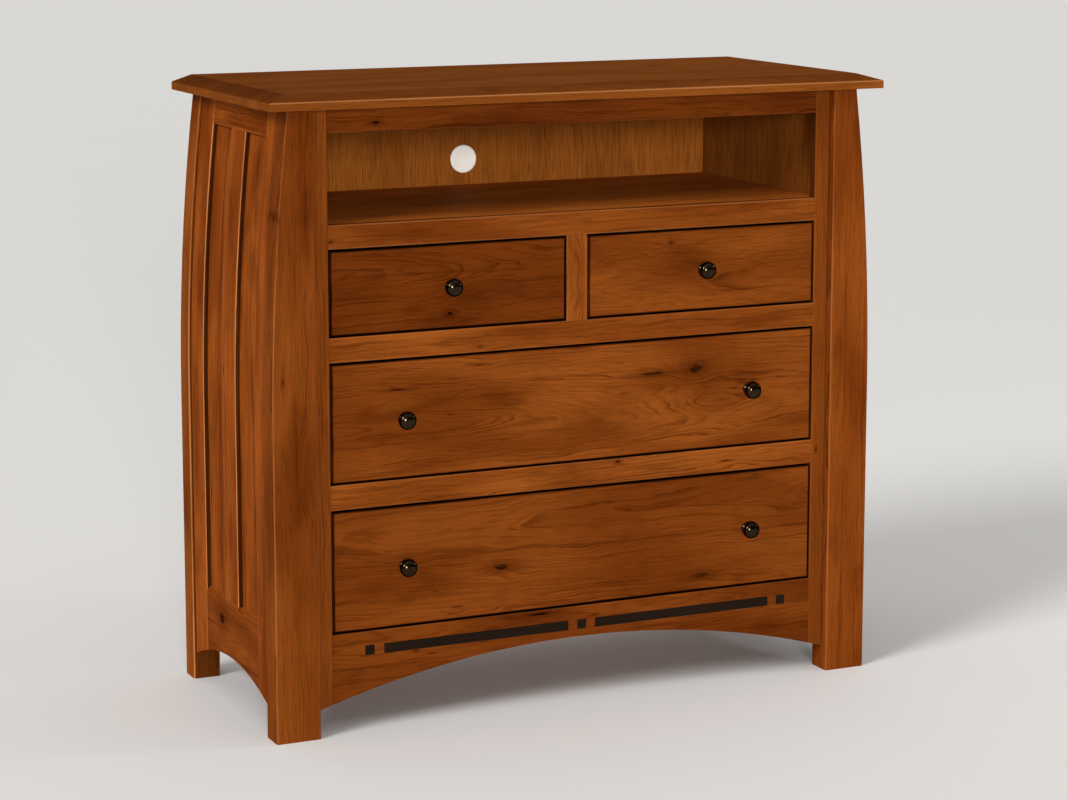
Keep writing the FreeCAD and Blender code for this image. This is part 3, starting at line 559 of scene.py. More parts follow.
def make_board_group():
    """Grain of one board, on its own attributes: rings about a pith line, knots, marks, ends, and painted
    shade and highlights on its edges.
    """
    inputs = {name: "colour" for name in STAINS}
    inputs.update({name: "value" for name in ("Ring width", "Wave", *FIGURE)})
    outputs = {"Color": "colour", "Roughness": "value", "Height": "value"}
    tree, given, result = new_group("Board figure", inputs, outputs)

    # The tone carries painted light and shade as well as the board's own tone.
    seed, tone_and_painted_light, strip = tree.split(tree.attribute("board"))
    along, wide, through = tree.split(tree.attribute("grain"))
    index = tree.math("ROUND", tree.math("DIVIDE", wide, strip))
    across = tree.math("SUBTRACT", wide, tree.product(index, strip))
    log = tree.weigh(seed, (index, STRIP_SEED))
    grain = (along, across, through)
    moved = tree.join(*(tree.product(log, shift) for shift in SEED_SHIFT))
    place = tree.vector("ADD", tree.join(*grain), moved)
    noise = {name: tree.noise(place, (run, rise, rise), detail, roughness)
             for name, (run, rise, detail, roughness) in FIGURE_NOISE.items()}
    marks = {name: tree.step(noise[name], *limits) for name, limits in FIGURE_MARKS.items()}
    core, halo, push = all_knots(tree, along, wide, noise)
    late = late_wood(tree, given, index, log, grain, noise, marks["broken"], push)
    marks.update(fibre=noise["fibre"], late=late, core=core)

    contrast = tree.attribute("contrast", "Fac")
    ends = tree.step(tree.attribute("end_grain", "Fac"), *END_SLANT)
    # Painted shade on narrow faces and arrises, for gaps, recesses and steps between parts, and a painted
    # highlight on the long arrises.
    painted_face_shade, painted_arris_shade, painted_arris_highlight = tree.split(tree.attribute("trim"))
    narrow, arris, long_arris = edge_masks(tree, noise["sway"])
    painted_gap_shade = tree.math("MAXIMUM", tree.product(narrow, painted_face_shade), tree.product(arris, painted_arris_shade))
    figure = (
        ("Middle", marks["patches"], given["Patches"], contrast),
        ("Dark", marks["clouds"], given["Patches"], contrast, CLOUD_SHARE),
        ("Dark", marks["streaks"], given["Streaks"], contrast),
        ("Dark", late, given["Rings"], contrast),
        ("Dark", fleck_mask(tree, place, noise["ripple"]), given["Flecks"], contrast),
    )
    finish = (
        ("Pore", marks["pores"], given["Pores"]),
        ("Dark", halo, given["Knots"], HALO_SHARE),
        ("Pore", core, given["Knots"]),
        ("Dark", ends, given["Ends"]),
        # A painted highlight on the long arrises, in the Edge colour.
        ("Edge", long_arris, given["Edges"], painted_arris_highlight),
        # Painted shade in the gaps and recesses, in the pore colour.
        ("Pore", painted_gap_shade),
    )
    colour = given["Light"]
    for stain, *shares in figure:
        colour = tree.mix(tree.product(*shares), colour, given[stain])
    colour = tree.scaled(colour, tree.math("MULTIPLY_ADD", noise["fibre"], given["Fibre"], 1.0))
    for stain, *shares in finish:
        colour = tree.mix(tree.product(*shares), colour, given[stain])

    warmth = tree.attribute("warmth", "Fac")
    tint = tree.join(1.0, tree.math("POWER", warmth, GREEN_POWER), tree.math("POWER", warmth, BLUE_POWER))
    # The tone, with its painted light and shade, scales the colour.
    tree.feed(result.inputs["Color"], tree.vector("MULTIPLY", colour, tree.scaled(tint, tone_and_painted_light)))
    rough = tree.weigh(WOOD_ROUGHNESS, *((marks[name], share) for name, share in ROUGHNESS_SHARE.items()))
    tree.feed(result.inputs["Roughness"], rough)
    height = tree.total(*(tree.product(marks[name], share) for name, share in RELIEF_SHARE.items()))
    tree.feed(result.inputs["Height"], height)
    return tree.tree


def make_wear_group():
    """Fine speckle, long scratches and soft smears for metal and moulded plastic, on Object coordinates."""
    inputs = {"Speckle size": "value", "Scratch length": "value"}
    outputs = {"Speckle": "value", "Scratches": "value", "Smears": "value"}
    tree, given, result = new_group("Handled surface", inputs, outputs)
    place = tree.add("ShaderNodeTexCoord").outputs["Object"]
    specks = tree.scaled(place, given["Speckle size"])
    run = tree.vector("MULTIPLY", place, tree.join(1.0, given["Scratch length"], 1.0))
    tree.feed(result.inputs["Speckle"], tree.noise(specks, (1.0, 1.0, 1.0), 2.0))
    tree.feed(result.inputs["Scratches"], tree.noise(run, SCRATCH_LUMPS, 1.0))
    tree.feed(result.inputs["Smears"], tree.noise(place, SMEAR_LUMPS, 2.0))
    return tree.tree


def shared_group(name, make):
    return bpy.data.node_groups.get(name) or make()


def new_material(name):
    material = bpy.data.materials.new(f"finish_{name}")
    material.use_nodes = True
    tree = Tree(material.node_tree)
    return material, tree, material.node_tree.nodes["Principled BSDF"]


def rgba(colour):
    return (*colour, 1.0)


def bump(tree, shader, height, distance):
    normal = tree.add("ShaderNodeBump", {"Strength": 1.0, "Distance": distance, "Height": height})
    tree.feed(shader.inputs["Normal"], normal.outputs["Normal"])


def wood_material(slot, look):
    """One wood finish: the board figure with this wood's stains and amounts, under a satin surface."""
    material, tree, shader = new_material(slot)
    values = {stain: rgba(getattr(look, name)) for stain, name in zip(STAINS, WOOD_STAINS[slot])}
    values.update(zip(FIGURE, WOOD_FIGURE[slot]))
    values["Ring width"], values["Wave"] = WOOD_RINGS.get(slot, (look.ring_width, look.grain_wave))
    group = shared_group("Board figure", make_board_group)
    board = tree.add("ShaderNodeGroup", values, node_tree=group)
    tree.feed(shader.inputs["Base Color"], board.outputs["Color"])
    tree.feed(shader.inputs["Roughness"], board.outputs["Roughness"])
    shader.inputs["Specular IOR Level"].default_value = WOOD_SPECULAR[slot]
    shader.inputs["Specular Tint"].default_value = rgba(look.varnish_tint)
    bump(tree, shader, board.outputs["Height"], WOOD_RELIEF[slot])
    return material


def handled_material(slot, look, speckle_size, scratch_length, shade, roughness, gloss, relief, metallic):
    """Zinc-plated steel, oiled bronze or plastic: a colour with wear in its shade, gloss and relief."""
    material, tree, shader = new_material(slot)
    values = {"Speckle size": speckle_size, "Scratch length": scratch_length}
    group = shared_group("Handled surface", make_wear_group)
    wear = tree.add("ShaderNodeGroup", values, node_tree=group).outputs
    worn_shade = tree.weigh(1.0, *((wear[kind], share) for kind, share in shade.items()))
    worn_gloss = tree.weigh(roughness, *((wear[kind], share) for kind, share in gloss.items()))
    tree.feed(shader.inputs["Base Color"], tree.scaled(getattr(look, slot), worn_shade))
    tree.feed(shader.inputs["Roughness"], worn_gloss)
    shader.inputs["Metallic"].default_value = metallic
    if slot == "knob_metal":
        shader.inputs["Specular Tint"].default_value = rgba(look.knob_tint)
    kind, height = relief
    bump(tree, shader, wear[kind], height)
    return material


def finish_of(slot):
    """The finish of a record slot, made when it is first asked for."""
    look = bpy.context.scene.chest_look
    made = bpy.data.materials.get(f"finish_{slot}")
    if made:
        return made
    return handled_material(slot, look, **HANDLED[slot]) if slot in HANDLED else wood_material(slot, look)


def add_object(name, data):
    thing = bpy.data.objects.new(name, data)
    bpy.context.scene.collection.objects.link(thing)
    return thing


def new_mesh(name, shape, material):
    """Turns a finished bmesh into a mesh with one material."""
    mesh = bpy.data.meshes.new(name)
    shape.to_mesh(mesh)
    shape.free()
    mesh.materials.append(material)
    return mesh


def new_piece(made, node, shape):
    """Turns a finished bmesh into the piece that stands for a node and rides on its body."""
    name, slot, body = f"{made}_{node}", SLOT_OF[node], BODY_OF[node]
    piece = add_object(name, new_mesh(name, shape, finish_of(slot)))
    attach(piece, body)
    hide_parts(node)
    return piece


def soften(bm, angle):
    """Shades smooth across edges flatter than this angle and keeps the others crisp."""
    for face in bm.faces:
        face.smooth = True
    for edge in bm.edges:
        edge.smooth = len(edge.link_faces) == 2 and edge.calc_face_angle(0.0) < angle


def even_normals(piece):
    """Lets the broad flat faces lead the shading beside their eased edges."""
    weighted = piece.modifiers.new("Flat faces lead", "WEIGHTED_NORMAL")
    weighted.keep_sharp = True
    weighted.weight = 100


def closed_shells(node):
    """Sorts a CAD node's faces into closed shells, one for each solid, and yields each as a welded bmesh."""
    source = NODES[node].data
    corners = [tuple(round(value, 6) for value in vertex.co) for vertex in source.vertices]
    shell, loose = bmesh.new(), set()
    for polygon in source.polygons:
        points = [corners[index] for index in polygon.vertices]
        shell.faces.new([shell.verts.new(point) for point in points])
        for first, second in zip(points, points[1:] + points[:1]):
            if (second, first) in loose:
                loose.remove((second, first))
            else:
                loose.add((first, second))
        if not loose:
            bmesh.ops.remove_doubles(shell, verts=shell.verts, dist=WELD)
            bmesh.ops.dissolve_limit(shell, angle_limit=FLAT_ANGLE, verts=shell.verts, edges=shell.edges)
            yield shell
            shell = bmesh.new()
    if shell.faces:
        raise ValueError(f"the mesh of {node} isn't closed")
    shell.free()


def curve_offset(height):
    """How far the legs and sides have bent inwards at this height."""
    rise = max(0.0, height - CURVE_START)
    return CURVE_RADIUS - math.sqrt(CURVE_RADIUS * CURVE_RADIUS - rise * rise)


def unbent(node, co):
    """A place with the bend of the sides taken out, because their grain follows the bend."""
    if not node.startswith("side_"):
        return co.copy()
    outward = 1 if co.x > 0 else -1
    return Vector((co.x + outward * curve_offset(co.z), co.y, co.z))


def squared(node, co, box):
    """A place with the bend, taper or bevel taken out, so that the edges of every board lie on its box."""
    low, high = box
    if node == "top_panel":
        share = min(1.0, (co.z - low.z) / TOP_EDGE)
        return Vector((co.x, co.y, low.z + share * (high.z - low.z)))
    if "_leg_" not in node:
        return unbent(node, co)
    inner, outer = sorted((low.x, high.x), key=abs)
    outward = 1 if outer > 0 else -1
    share = (co.x - inner) / (outer - outward * curve_offset(co.z) - inner)
    return Vector((inner + share * (outer - inner), co.y, co.z))


def by_part(table, node, otherwise):
    """The first entry of a table whose key is a part of the node's name."""
    return next((entry for part, entry in table.items() if part in node), otherwise)


def grain_order(node, along_axis, half):
    """A board's axes along, across and through its grain, the wider one first."""
    others = sorted((axis for axis in AXES if axis != along_axis), key=lambda axis: -half[axis])
    if node in DEPTH_FIRST:
        others.sort(key=lambda axis: axis != Y)
    return (along_axis, *others)


def knot_values(node, number, middle, order):
    """Places, sizes and stretches of a board's knots on its own axes; the first board of a node has them."""
    values = {name: Vector((1, 1, 1)) for name in STRETCH_NAMES}
    values.update({name: Vector((0, 0, 0)) for name in KNOT_NAMES})
    knots = KNOTS.get(node, ()) if number == 0 else ()
    for index, (x, y, z, height, stretch) in enumerate(knots):
        place = unbent(node, Vector((x, y, z)) * MM) - middle
        values[KNOT_NAMES[index]] = Vector((place[order[0]], place[order[1]], height * MM))
        values[STRETCH_NAMES[index // 3]][index % 3] = stretch
    return values


def trim_at(node, place, middle):
    """How much painted shade and painted highlight a board's edges get at one place: painted shadow beside a
    leg, and none under the top.
    """
    # The first two are painted shade on narrow faces and on arrises, the last a painted highlight on the
    # arrises.
    faces, arrises, painted_highlight = by_part(EDGE_LIGHT_AND_SHADE, node, PLAIN_EDGE_LIGHT_AND_SHADE)
    if node == "top_panel" and place.z < middle.z:
        return Vector((0, 0, 0))
    if abs(place.x) > abs(middle.x):
        arrises = PAINTED_LEG_SHADOW.get(node, arrises)
    return Vector((faces, arrises, painted_highlight))


def end_grain(node, normal, along_axis):
    """How squarely a face cuts the grain, or how much darker the top's faces are."""
    cut = abs(normal[along_axis])
    if node != "top_panel":
        return cut
    low, high = BEVEL_RISE
    return BEVEL_DARKENING + cut / 2 if low < normal.z < high else 0.0


def board_layers(bm, node, number, along_axis, strip):
    """Writes a board's own coordinates and growth values onto its mesh, for the wood materials."""
    draw = random.Random(f"{node} {number}")
    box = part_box(node)
    places = [squared(node, vertex.co, box) for vertex in bm.verts]
    low, high = [Vector([limit(place[axis] for place in places) for axis in AXES]) for limit in (min, max)]
    middle, half = (low + high) / 2, (high - low) / 2
    order = grain_order(node, along_axis, half)
    # The tone holds painted light and shade as well as the board's own tone.
    seed, tone_and_painted_light = draw.random(), TONE_AND_PAINTED_LIGHT.get(node, draw.uniform(*TONE_RANGE))
    pith = [draw.uniform(*limits) for limits in STRAIGHT_PITH]
    pith[0] *= draw.choice((-1, 1))
    board_wide = {
        "half": Vector([half[axis] for axis in order]),
        "pith": Vector(PITH.get(node, pith)),
        "board": Vector((seed, tone_and_painted_light, strip)),
        **knot_values(node, number, middle, order),
    }
    names = ("grain", "place", "trim", *board_wide)
    layers = {name: bm.verts.layers.float_vector.new(name) for name in names}
    amounts = {"contrast": by_part(CONTRAST, node, 1.0), "warmth": by_part(WARMTH, node, min(tone_and_painted_light, 1.0))}
    layers.update({name: bm.verts.layers.float.new(name) for name in amounts})
    board_wide.update(amounts)
    end_layer = bm.faces.layers.float.new("end_grain")
    bm.normal_update()
    for face in bm.faces:
        face[end_layer] = end_grain(node, face.normal, along_axis)
    for vertex, place in zip(bm.verts, places):
        grain = unbent(node, vertex.co) - middle
        vertex[layers["grain"]] = Vector([grain[axis] for axis in order])
        vertex[layers["place"]] = Vector([(place - middle)[axis] / half[axis] for axis in order])
        vertex[layers["trim"]] = trim_at(node, place, middle)
        for name, value in board_wide.items():
            vertex[layers[name]] = value


def longest_axis(bm):
    spans = [[vertex.co[axis] for vertex in bm.verts] for axis in AXES]
    lengths = [max(span) - min(span) for span in spans]
    return lengths.index(max(lengths))


def dress(node, along_axis=None, strip=ONE_BOARD, ease=0.0):
    """Stands a finished board, or set of boards, in the place of a CAD node, its grain along one axis."""
    look = bpy.context.scene.chest_look
    whole = bmesh.new()
    for number, shell in enumerate(closed_shells(node)):
        if ease:
            sharp = [edge for edge in shell.edges if edge.calc_face_angle(0.0) > look.sharp_angle]
            bmesh.ops.bevel(shell, geom=sharp, offset=ease, segments=2, profile=0.5, affect="EDGES",
                            material=-1)
        axis = longest_axis(shell) if along_axis is None else along_axis
        board_layers(shell, node, number, axis, strip)
        soften(shell, look.sharp_angle)
        part = bpy.data.meshes.new("part")
        shell.to_mesh(part)
        shell.free()
        whole.from_mesh(part)
        bpy.data.meshes.remove(part)
    even_normals(new_piece("finished", node, whole))


def spun(bm, profile, centre, steps):
    """Turns a profile of (radius, y) points about an axis along Y through the centre and closes its poles."""
    points = [bm.verts.new((centre.x + radius, depth, centre.z)) for radius, depth in profile]
    edges = [bm.edges.new(pair) for pair in zip(points, points[1:])]
    bmesh.ops.spin(bm, geom=points + edges, cent=(centre.x, 0, centre.z), axis=(0, 1, 0), angle=math.tau,
                   steps=steps, use_merge=True)
    bmesh.ops.remove_doubles(bm, verts=bm.verts, dist=POLE_WELD)
    bmesh.ops.recalc_face_normals(bm, faces=bm.faces)


def subdivide(piece, levels):
    modifier = piece.modifiers.new("Round", "SUBSURF")
    modifier.levels = levels
    modifier.render_levels = levels


def turned_centres(node):
    """Axes of the turned pieces in a CAD node: one, or one at each end of its box."""
    low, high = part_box(node)
    middle, radius = (low + high) / 2, (high.z - low.z) / 2
    first, last = low.x + radius, high.x - radius
    places = (middle.x,) if last - first < radius else (first, last)
    return [Vector((place, middle.y, middle.z)) for place in places]


def a_number(name, description, default, **kind):
    return FloatProperty(name=name, description=description, default=default, **kind)


def a_length(name, description, default):
    return a_number(name, description, default, unit="LENGTH")


def an_angle(name, description, default):
    return a_number(name, description, default, subtype="ANGLE")


def a_colour(name, description, default):
    return FloatVectorProperty(name=name, description=description, default=default, subtype="COLOR", size=3,
                               min=0.0, max=1.0)


class ChestLook(bpy.types.PropertyGroup):
    """Colours and finish of the chest."""

    stain_light: a_colour("Light stain", "Stained wood between the growth rings", (0.240, 0.062, 0.0088))
    stain_middle: a_colour("Middle stain", "Stained wood in the darker patches", (0.146, 0.0325, 0.0042))
    stain_dark: a_colour("Dark stain", "Late growth rings and mineral streaks", (0.066, 0.0120, 0.0014))
    # The pore colour is also that of the painted shade in gaps, recesses and steps.
    stain_pore: a_colour("Pores and knots", "Filled pores and the cores of knots", (0.010, 0.0028, 0.0008))
    # Painted highlight on the arrises, standing for light caught by their eased edges.
    stain_edge: a_colour("Painted arris highlight", "Edges rubbed a little lighter", (0.40, 0.155, 0.050))
    veneer_light: a_colour("Light veneer", "Plywood face between its lines", (0.285, 0.087, 0.0125))
    veneer_middle: a_colour("Middle veneer", "Plywood face in the darker bands", (0.195, 0.054, 0.0068))
    veneer_dark: a_colour("Dark veneer", "Fine dark lines of the plywood face", (0.080, 0.018, 0.0022))
    drawer_light: a_colour("Light drawer wood", "Drawer sides between the rings", (0.62, 0.42, 0.22))
    drawer_middle: a_colour("Middle drawer wood", "Drawer sides in the darker patches", (0.52, 0.33, 0.16))
    drawer_dark: a_colour("Dark drawer wood", "Growth rings of the drawer sides", (0.36, 0.20, 0.085))
    inlay_light: a_colour("Light inlay", "Inlay bars between their lines", (0.0125, 0.0072, 0.0044))
    inlay_dark: a_colour("Dark inlay", "Lines of the inlay bars", (0.0060, 0.0036, 0.0024))
    slide_steel: a_colour("Slide steel", "Zinc-plated drawer slides", (0.60, 0.61, 0.62))
    screw_steel: a_colour("Screw steel", "Zinc-plated screws", (0.62, 0.61, 0.58))
    knob_metal: a_colour("Knob metal", "Oiled bronze of the knobs", (0.034, 0.0225, 0.012))
    knob_tint: a_colour("Knob tint", "Tint of the knobs' reflection at their rims", (0.20, 0.13, 0.06))
    outlet_plastic: a_colour("Outlet plastic", "White of the cable outlet", (0.97, 0.905, 0.81))
    varnish_tint: a_colour("Varnish tint", "Warm tint of the varnish's reflection", (1.0, 0.55, 0.25))
    ring_width: a_length("Ring width", "Usual distance between growth rings", 0.0050)
    grain_wave: a_length("Grain wave", "How far the rings wander along a board", 0.055)
    sharp_angle: an_angle("Sharp angle", "Edges steeper than this stay crisp", math.radians(32))


class ChestSizes(bpy.types.PropertyGroup):
    """Sizes of the pieces that are modelled anew."""

    glue_strip: a_length("Glued strip", "Width of the boards that the top is glued up from", 0.106)
    knob_radius: a_length("Knob radius", "Widest radius of a knob's head, before it is rounded", 0.0165)
    knob_base: a_length("Knob base", "Radius of the bead under a knob", 0.0106)
    knob_neck: a_length("Knob neck", "Radius of a knob's neck", 0.0066)
    screw_recess: a_length("Screw recess", "Depth of the cross recess in a screw's head", 0.0012)
    slide_ease: a_length("Slide ease", "Rounding on the edges of the slides", 0.0003)
    outlet_bore: a_length("Outlet bore", "Inner radius of the outlet's sleeve", 0.0208)
    outlet_wall: a_length("Outlet wall", "Wall of the sleeve and of the cap's skirt", 0.0016)
    outlet_gap: a_length("Outlet gap", "Clearance between the cap and its sleeve", 0.0003)
    outlet_ease: a_length("Outlet ease", "Rounding on the outlet's edges", 0.0005)
    cap_rim: a_length("Cap rim", "Rounding of the cap's front rim", 0.0025)
    cap_dish: a_length("Cap dish", "How far the middle of the cap is sunk", 0.0007)
    knob_steps: IntProperty(name="Knob steps", description="Steps round a knob before it is rounded",
                            default=24, min=8)


class ChestStage(bpy.types.PropertyGroup):
    """Floor, light and camera."""

    floor_colour: a_colour("Floor", "Pale floor", (0.80, 0.79, 0.775))
    floor_radius: a_length("Floor radius", "How far the floor reaches", 60.0)
    sky_top: a_number("Overhead light", "Brightness of the studio straight above", 0.80)
    sky_side: a_number("Side light", "Brightness of the studio at eye height", 0.03)
    key_strength: a_number("Key light", "Strength of the broad light from the left", 1.95)
    fill_strength: a_number("Fill light", "Strength of the low light beside the camera", 2.4)
    key_spread: an_angle("Key spread", "Width of the key light, as seen from the chest", math.radians(20))
    fill_spread: an_angle("Fill spread", "Width of the fill light, as seen from the chest", math.radians(12))
    lens: a_number("Lens", "Focal length on a 36 mm frame", 97.704, unit="CAMERA")
    shift: a_number("Lens shift", "Upward shift of the frame, as a share of its width", -0.0656)
    camera_place: FloatVectorProperty(name="Camera", description="Where the camera stands", size=3,
                                      subtype="TRANSLATION", unit="LENGTH",
                                      default=(-2.2483, -4.8359, 1.5349))
    camera_turn: an_angle("Turn", "How far the camera turns to the right", 0.43689)
    camera_dip: an_angle("Dip", "How far the camera looks down", 0.16311)


def make_floor(stage):
    """Lays the pale floor, with clouds too faint to see as a pattern."""
    material, tree, shader = new_material("studio_floor")
    place = tree.add("ShaderNodeTexCoord").outputs["Object"]
    cloud = tree.noise(place, (FLOOR_LUMPS, FLOOR_LUMPS, FLOOR_LUMPS), 2.0)
    shade = tree.math("MULTIPLY_ADD", cloud, FLOOR_CLOUDS, 1.0)
    tree.feed(shader.inputs["Base Color"], tree.scaled(stage.floor_colour, shade))
    shader.inputs["Roughness"].default_value = FLOOR_ROUGHNESS
    shader.inputs["Specular IOR Level"].default_value = 0.0
    bm = bmesh.new()
    bmesh.ops.create_circle(bm, cap_ends=True, radius=stage.floor_radius, segments=FLOOR_SIDES)
    add_object("studio_floor", new_mesh("studio_floor", bm, material))


def make_world(stage):
    """Lights the studio all round, brightest from above."""
    world = bpy.data.worlds.new("studio_light")
    bpy.context.scene.world = world
    world.use_nodes = True
    tree = Tree(world.node_tree)
    direction = tree.add("ShaderNodeTexCoord").outputs["Generated"]
    height = tree.math("POWER", tree.math("MAXIMUM", tree.split(direction)[2], 0.0), SKY_POWER)
    values = {"Value": height, "To Min": stage.sky_side, "To Max": stage.sky_top}
    background = world.node_tree.nodes["Background"]
    tree.feed(background.inputs["Strength"], tree.add("ShaderNodeMapRange", values).outputs["Result"])
    background.inputs["Color"].default_value = rgba(STUDIO_COLOUR)


def add_lamp(name, kind, place, target):
    """Hangs a lamp at a place, aimed at a point, and returns its settings."""
    lamp = bpy.data.lights.new(name, kind)
    holder = add_object(name, lamp)
    holder.location = place
    holder.rotation_euler = (Vector(target) - Vector(place)).to_track_quat("-Z", "Y").to_euler()
    return lamp


def add_camera(stage):
    camera = bpy.data.cameras.new("camera")
    camera.lens = stage.lens
    camera.sensor_width = FRAME_WIDTH
    camera.shift_y = stage.shift
    camera.clip_end = CAMERA_REACH
    holder = add_object("camera", camera)
    holder.location = stage.camera_place
    holder.rotation_euler = (math.pi / 2 - stage.camera_dip, 0.0, -stage.camera_turn)
    return holder


class CHEST_OT_stage(bpy.types.Operator):
    """Set the floor, the soft studio light and the camera"""
    bl_idname = "chest.stage"
    bl_label = "Stage"

    def execute(self, context):
        stage = context.scene.chest_stage
        make_floor(stage)
        make_world(stage)
        for name, place in SUNS.items():
            lamp = add_lamp(f"{name}_light", "SUN", place, SUN_TARGET)
            lamp.energy = getattr(stage, f"{name}_strength")
            lamp.angle = getattr(stage, f"{name}_spread")
        for name, (place, size, power) in SOFTBOXES.items():
            lamp = add_lamp(name, "AREA", place, SOFTBOX_TARGET)
            lamp.size = size
            lamp.energy = power
        context.scene.camera = add_camera(stage)
        context.scene.view_settings.view_transform = "Standard"
        return {"FINISHED"}


class CHEST_OT_top(bpy.types.Operator):
    """Dress the bevelled top as a panel glued up from several boards"""
    bl_idname = "chest.top"
    bl_label = "Top"

    def execute(self, context):
        dress("top_panel", X, strip=context.scene.chest_sizes.glue_strip)
        return {"FINISHED"}


class CHEST_OT_legs(bpy.types.Operator):
    """Dress the four curved legs, with upright grain"""
    bl_idname = "chest.legs"
    bl_label = "Legs"

    def execute(self, context):
        for end in ("front", "rear"):
            for side in SIDES:
                dress(f"{end}_leg_{side}", Z)
        return {"FINISHED"}


class CHEST_OT_sides(bpy.types.Operator):
    """Dress the framed sides: stiles, rails and sunk panels"""
    bl_idname = "chest.sides"
    bl_label = "Sides"

    def execute(self, context):
        for side in SIDES:
            dress(f"side_stiles_{side}", Z)
            dress(f"side_panels_{side}", Z)
            dress(f"side_top_rail_{side}", Y)
            dress(f"side_bottom_rail_{side}", Y)
        return {"FINISHED"}


class CHEST_OT_face_frame(bpy.types.Operator):
    """Dress the stiles, rails and divider round the drawers"""
    bl_idname = "chest.face_frame"
    bl_label = "Face frame"

    def execute(self, context):
        for side in SIDES:
            dress(f"face_stile_{side}", Z)
        for rail in ("top", "shelf", "upper", "lower"):
            dress(f"face_{rail}_rail", X)
        dress("drawer_divider", Z)
        return {"FINISHED"}


class CHEST_OT_apron(bpy.types.Operator):
    """Dress the arched apron and its row of dark inlays"""
    bl_idname = "chest.apron"
    bl_label = "Apron"

    def execute(self, context):
        dress("apron", X)
        dress("apron_inlays", X)
        return {"FINISHED"}


class CHEST_OT_inside(bpy.types.Operator):
    """Dress the shelf, walls, back, dust panels and the wood that carries the slides"""
    bl_idname = "chest.inside"
    bl_label = "Inside"

    def execute(self, context):
        dress("media_shelf", X)
        dress("dust_panels", X)
        for node in ("inner_walls", "back_panel", "drawer_partition", "rear_filler_posts"):
            dress(node, Z)
        dress("slide_cleats", Y)
        return {"FINISHED"}


class CHEST_OT_drawer_fronts(bpy.types.Operator):
    """Dress the four drawer fronts, each one board with its own figure and knots"""
    bl_idname = "chest.drawer_fronts"
    bl_label = "Drawer fronts"

    def execute(self, context):
        for drawer in DRAWERS:
            dress(f"{drawer}_drawer_front", X)
        return {"FINISHED"}


class CHEST_OT_drawer_boxes(bpy.types.Operator):
    """Dress the dovetailed drawer boxes and their bottoms"""
    bl_idname = "chest.drawer_boxes"
    bl_label = "Drawer boxes"

    def execute(self, context):
        for drawer in DRAWERS:
            dress(f"{drawer}_drawer_box")
            dress(f"{drawer}_drawer_bottom", X)
        return {"FINISHED"}


def knob_profile(sizes, face, front):
    """Radius and depth of a knob from the drawer's face to the middle of its dome."""
    parts = ((sizes.knob_base, KNOB_BEAD), (sizes.knob_neck, KNOB_NECK), (sizes.knob_radius, KNOB_HEAD))
    depth = face - front
    return [(radius * share, face - depth * run) for radius, shares in parts for share, run in shares]


def screw_profile(head, tip, top):
    """Radius and depth of a screw from its tip to the middle of its head."""
    under = top - SCREW_HEAD
    return ((0.0, tip), (SCREW_SHANK, tip), (SCREW_SHANK, under), (head, under), (head, top - SCREW_BRIM),
            (head * CROWN_SHARE, top - SCREW_CROWN), (head * CROSS_REACH, top), (head * CROSS_MIDDLE, top),
            (0.0, top))


class CHEST_OT_knobs(bpy.types.Operator):
    """Turn the domed dark knobs, and the cross-head screws that hold them from inside the drawers"""
    bl_idname = "chest.knobs"
    bl_label = "Knobs"

    def execute(self, context):
        sizes = context.scene.chest_sizes
        for drawer in DRAWERS:
            self.make_knobs(f"{drawer}_knobs", sizes)
            self.make_screws(f"{drawer}_knob_screws", sizes)
        return {"FINISHED"}

    def make_knobs(self, node, sizes):
        low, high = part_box(node)
        bm = bmesh.new()
        for centre in turned_centres(node):
            spun(bm, knob_profile(sizes, high.y, low.y), centre, sizes.knob_steps)
        soften(bm, math.pi)
        subdivide(new_piece("turned", node, bm), KNOB_ROUNDING)

    def make_screws(self, node, sizes):
        low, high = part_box(node)
        head = (high.z - low.z) / 2
        bm = bmesh.new()
        for centre in turned_centres(node):
            spun(bm, screw_profile(head, low.y, high.y), centre, SCREW_STEPS)
            self.cut_cross(bm, centre, head, high.y, sizes.screw_recess)
        soften(bm, SCREW_ANGLE)
        new_piece("turned", node, bm)

    def cut_cross(self, bm, centre, head, top, recess):
        """Sinks four arms and the middle of a screw's head."""
        bm.normal_update()
        chosen = []
        for face in bm.faces:
            offset = face.calc_center_median() - Vector((centre.x, top, centre.z))
            reach = math.hypot(offset.x, offset.z)
            if abs(offset.y) > POLE_WELD or reach > head * CROSS_REACH:
                continue
            turn = math.atan2(offset.z, offset.x) % (math.pi / 2)
            if reach < head * CROSS_MIDDLE or turn < CROSS_ARM:
                chosen.append(face)
        sunk = bmesh.ops.extrude_face_region(bm, geom=chosen)["geom"]
        bmesh.ops.delete(bm, geom=chosen, context="FACES")
        moved = [item for item in sunk if isinstance(item, bmesh.types.BMVert)]
        bmesh.ops.translate(bm, verts=moved, vec=(0, -recess, 0))


class CHEST_OT_slides(bpy.types.Operator):
    """Dress the drawer slides as bent zinc-plated steel"""
    bl_idname = "chest.slides"
    bl_label = "Slides"

    def execute(self, context):
        ease = context.scene.chest_sizes.slide_ease
        dress("cabinet_slide_channels", Y, ease=ease)
        for drawer in DRAWERS:
            dress(f"{drawer}_slide_middles", Y, ease=ease)
            dress(f"{drawer}_slide_runners", Y, ease=ease)
        return {"FINISHED"}


def sleeve_profile(sizes):
    """Radius and depth round the section of the outlet's sleeve, whose flange lies on the back panel."""
    low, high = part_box("outlet_sleeve")
    front, back, flange = low.y, high.y, (high.z - low.z) / 2
    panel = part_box("back_panel")[0].y
    bore, tube, ease = sizes.outlet_bore, sizes.outlet_bore + sizes.outlet_wall, sizes.outlet_ease
    return ((bore, back - ease), (bore, front + ease), (bore + ease, front), (flange - ease, front),
            (flange, front + ease), (flange, panel), (tube, panel), (tube, back - ease), (tube - ease, back),
            (bore + ease, back), (bore, back - ease))


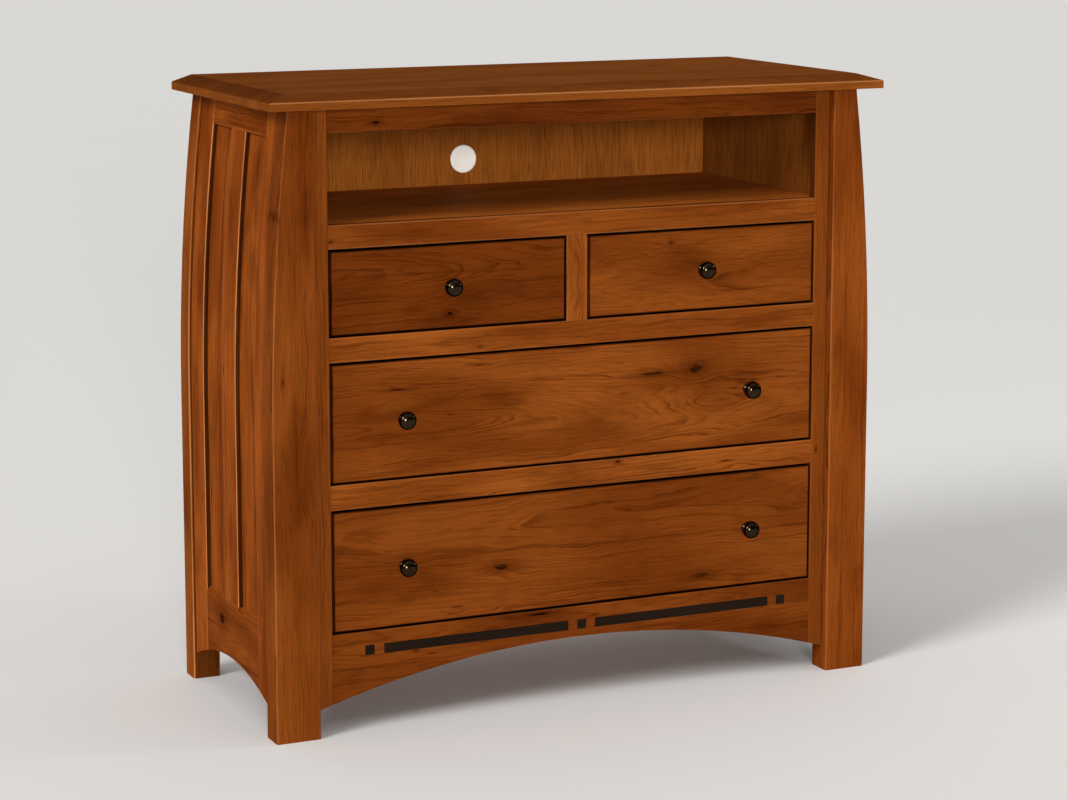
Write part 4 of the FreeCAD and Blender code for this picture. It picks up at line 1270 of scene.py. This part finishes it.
def cap_profile(sizes):
    """Radius and depth of the outlet's cap: its dished front, rounded rim and the skirt in the sleeve."""
    low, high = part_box("outlet_cap")
    front, back, edge = low.y, high.y, (high.z - low.z) / 2
    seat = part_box("outlet_sleeve")[0].y - sizes.outlet_gap
    skirt = sizes.outlet_bore - sizes.outlet_gap
    inner = skirt - sizes.outlet_wall
    rim, dish, ease = sizes.cap_rim, sizes.cap_dish, sizes.outlet_ease
    return ((0.0, front + dish), (edge * DISH_FLAT, front + dish),
            (edge * DISH_RISE, front + dish * DISH_LEFT), (edge - rim, front),
            (edge - rim * RIM_POINT, front + rim * RIM_POINT), (edge, front + rim), (edge, seat - ease),
            (edge - ease, seat), (skirt, seat), (skirt, back - ease), (skirt - ease, back), (inner, back),
            (inner, seat), (0.0, seat))


class CHEST_OT_outlet(bpy.types.Operator):
    """Turn the cable outlet's sleeve and its cap"""
    bl_idname = "chest.outlet"
    bl_label = "Cable outlet"

    def execute(self, context):
        sizes = context.scene.chest_sizes
        for node, profile in (("outlet_sleeve", sleeve_profile(sizes)), ("outlet_cap", cap_profile(sizes))):
            bm = bmesh.new()
            spun(bm, profile, turned_centres(node)[0], OUTLET_STEPS)
            soften(bm, context.scene.chest_look.sharp_angle)
            even_normals(new_piece("turned", node, bm))
        return {"FINISHED"}


class CHEST_PT_panel(bpy.types.Panel):
    """Lists the steps that dress the chest, with their sizes and colours"""
    bl_idname = "CHEST_PT_panel"
    bl_label = "Media chest"
    bl_space_type = "VIEW_3D"
    bl_region_type = "UI"
    bl_category = "Chest"

    def draw(self, context):
        for step in STEPS:
            self.layout.operator(step.bl_idname)
        for name, group in GROUPS.items():
            box = self.layout.box()
            for setting in group.__annotations__:
                box.prop(getattr(context.scene, name), setting)


GROUPS = {"chest_look": ChestLook, "chest_sizes": ChestSizes, "chest_stage": ChestStage}
STEPS = (
    CHEST_OT_stage, CHEST_OT_top, CHEST_OT_legs, CHEST_OT_sides, CHEST_OT_face_frame, CHEST_OT_apron,
    CHEST_OT_inside, CHEST_OT_drawer_fronts, CHEST_OT_drawer_boxes, CHEST_OT_knobs, CHEST_OT_slides,
    CHEST_OT_outlet,
)


def register():
    for item in (*GROUPS.values(), *STEPS, CHEST_PT_panel):
        bpy.utils.register_class(item)
    for name, group in GROUPS.items():
        setattr(bpy.types.Scene, name, PointerProperty(type=group))


def unregister():
    for name in GROUPS:
        delattr(bpy.types.Scene, name)
    for item in (CHEST_PT_panel, *reversed(STEPS), *reversed(GROUPS.values())):
        bpy.utils.unregister_class(item)


def main():
    register()
    for step in STEPS:
        getattr(bpy.ops.chest, step.bl_idname.split(".")[1])()


if __name__ == "__main__":
    main()
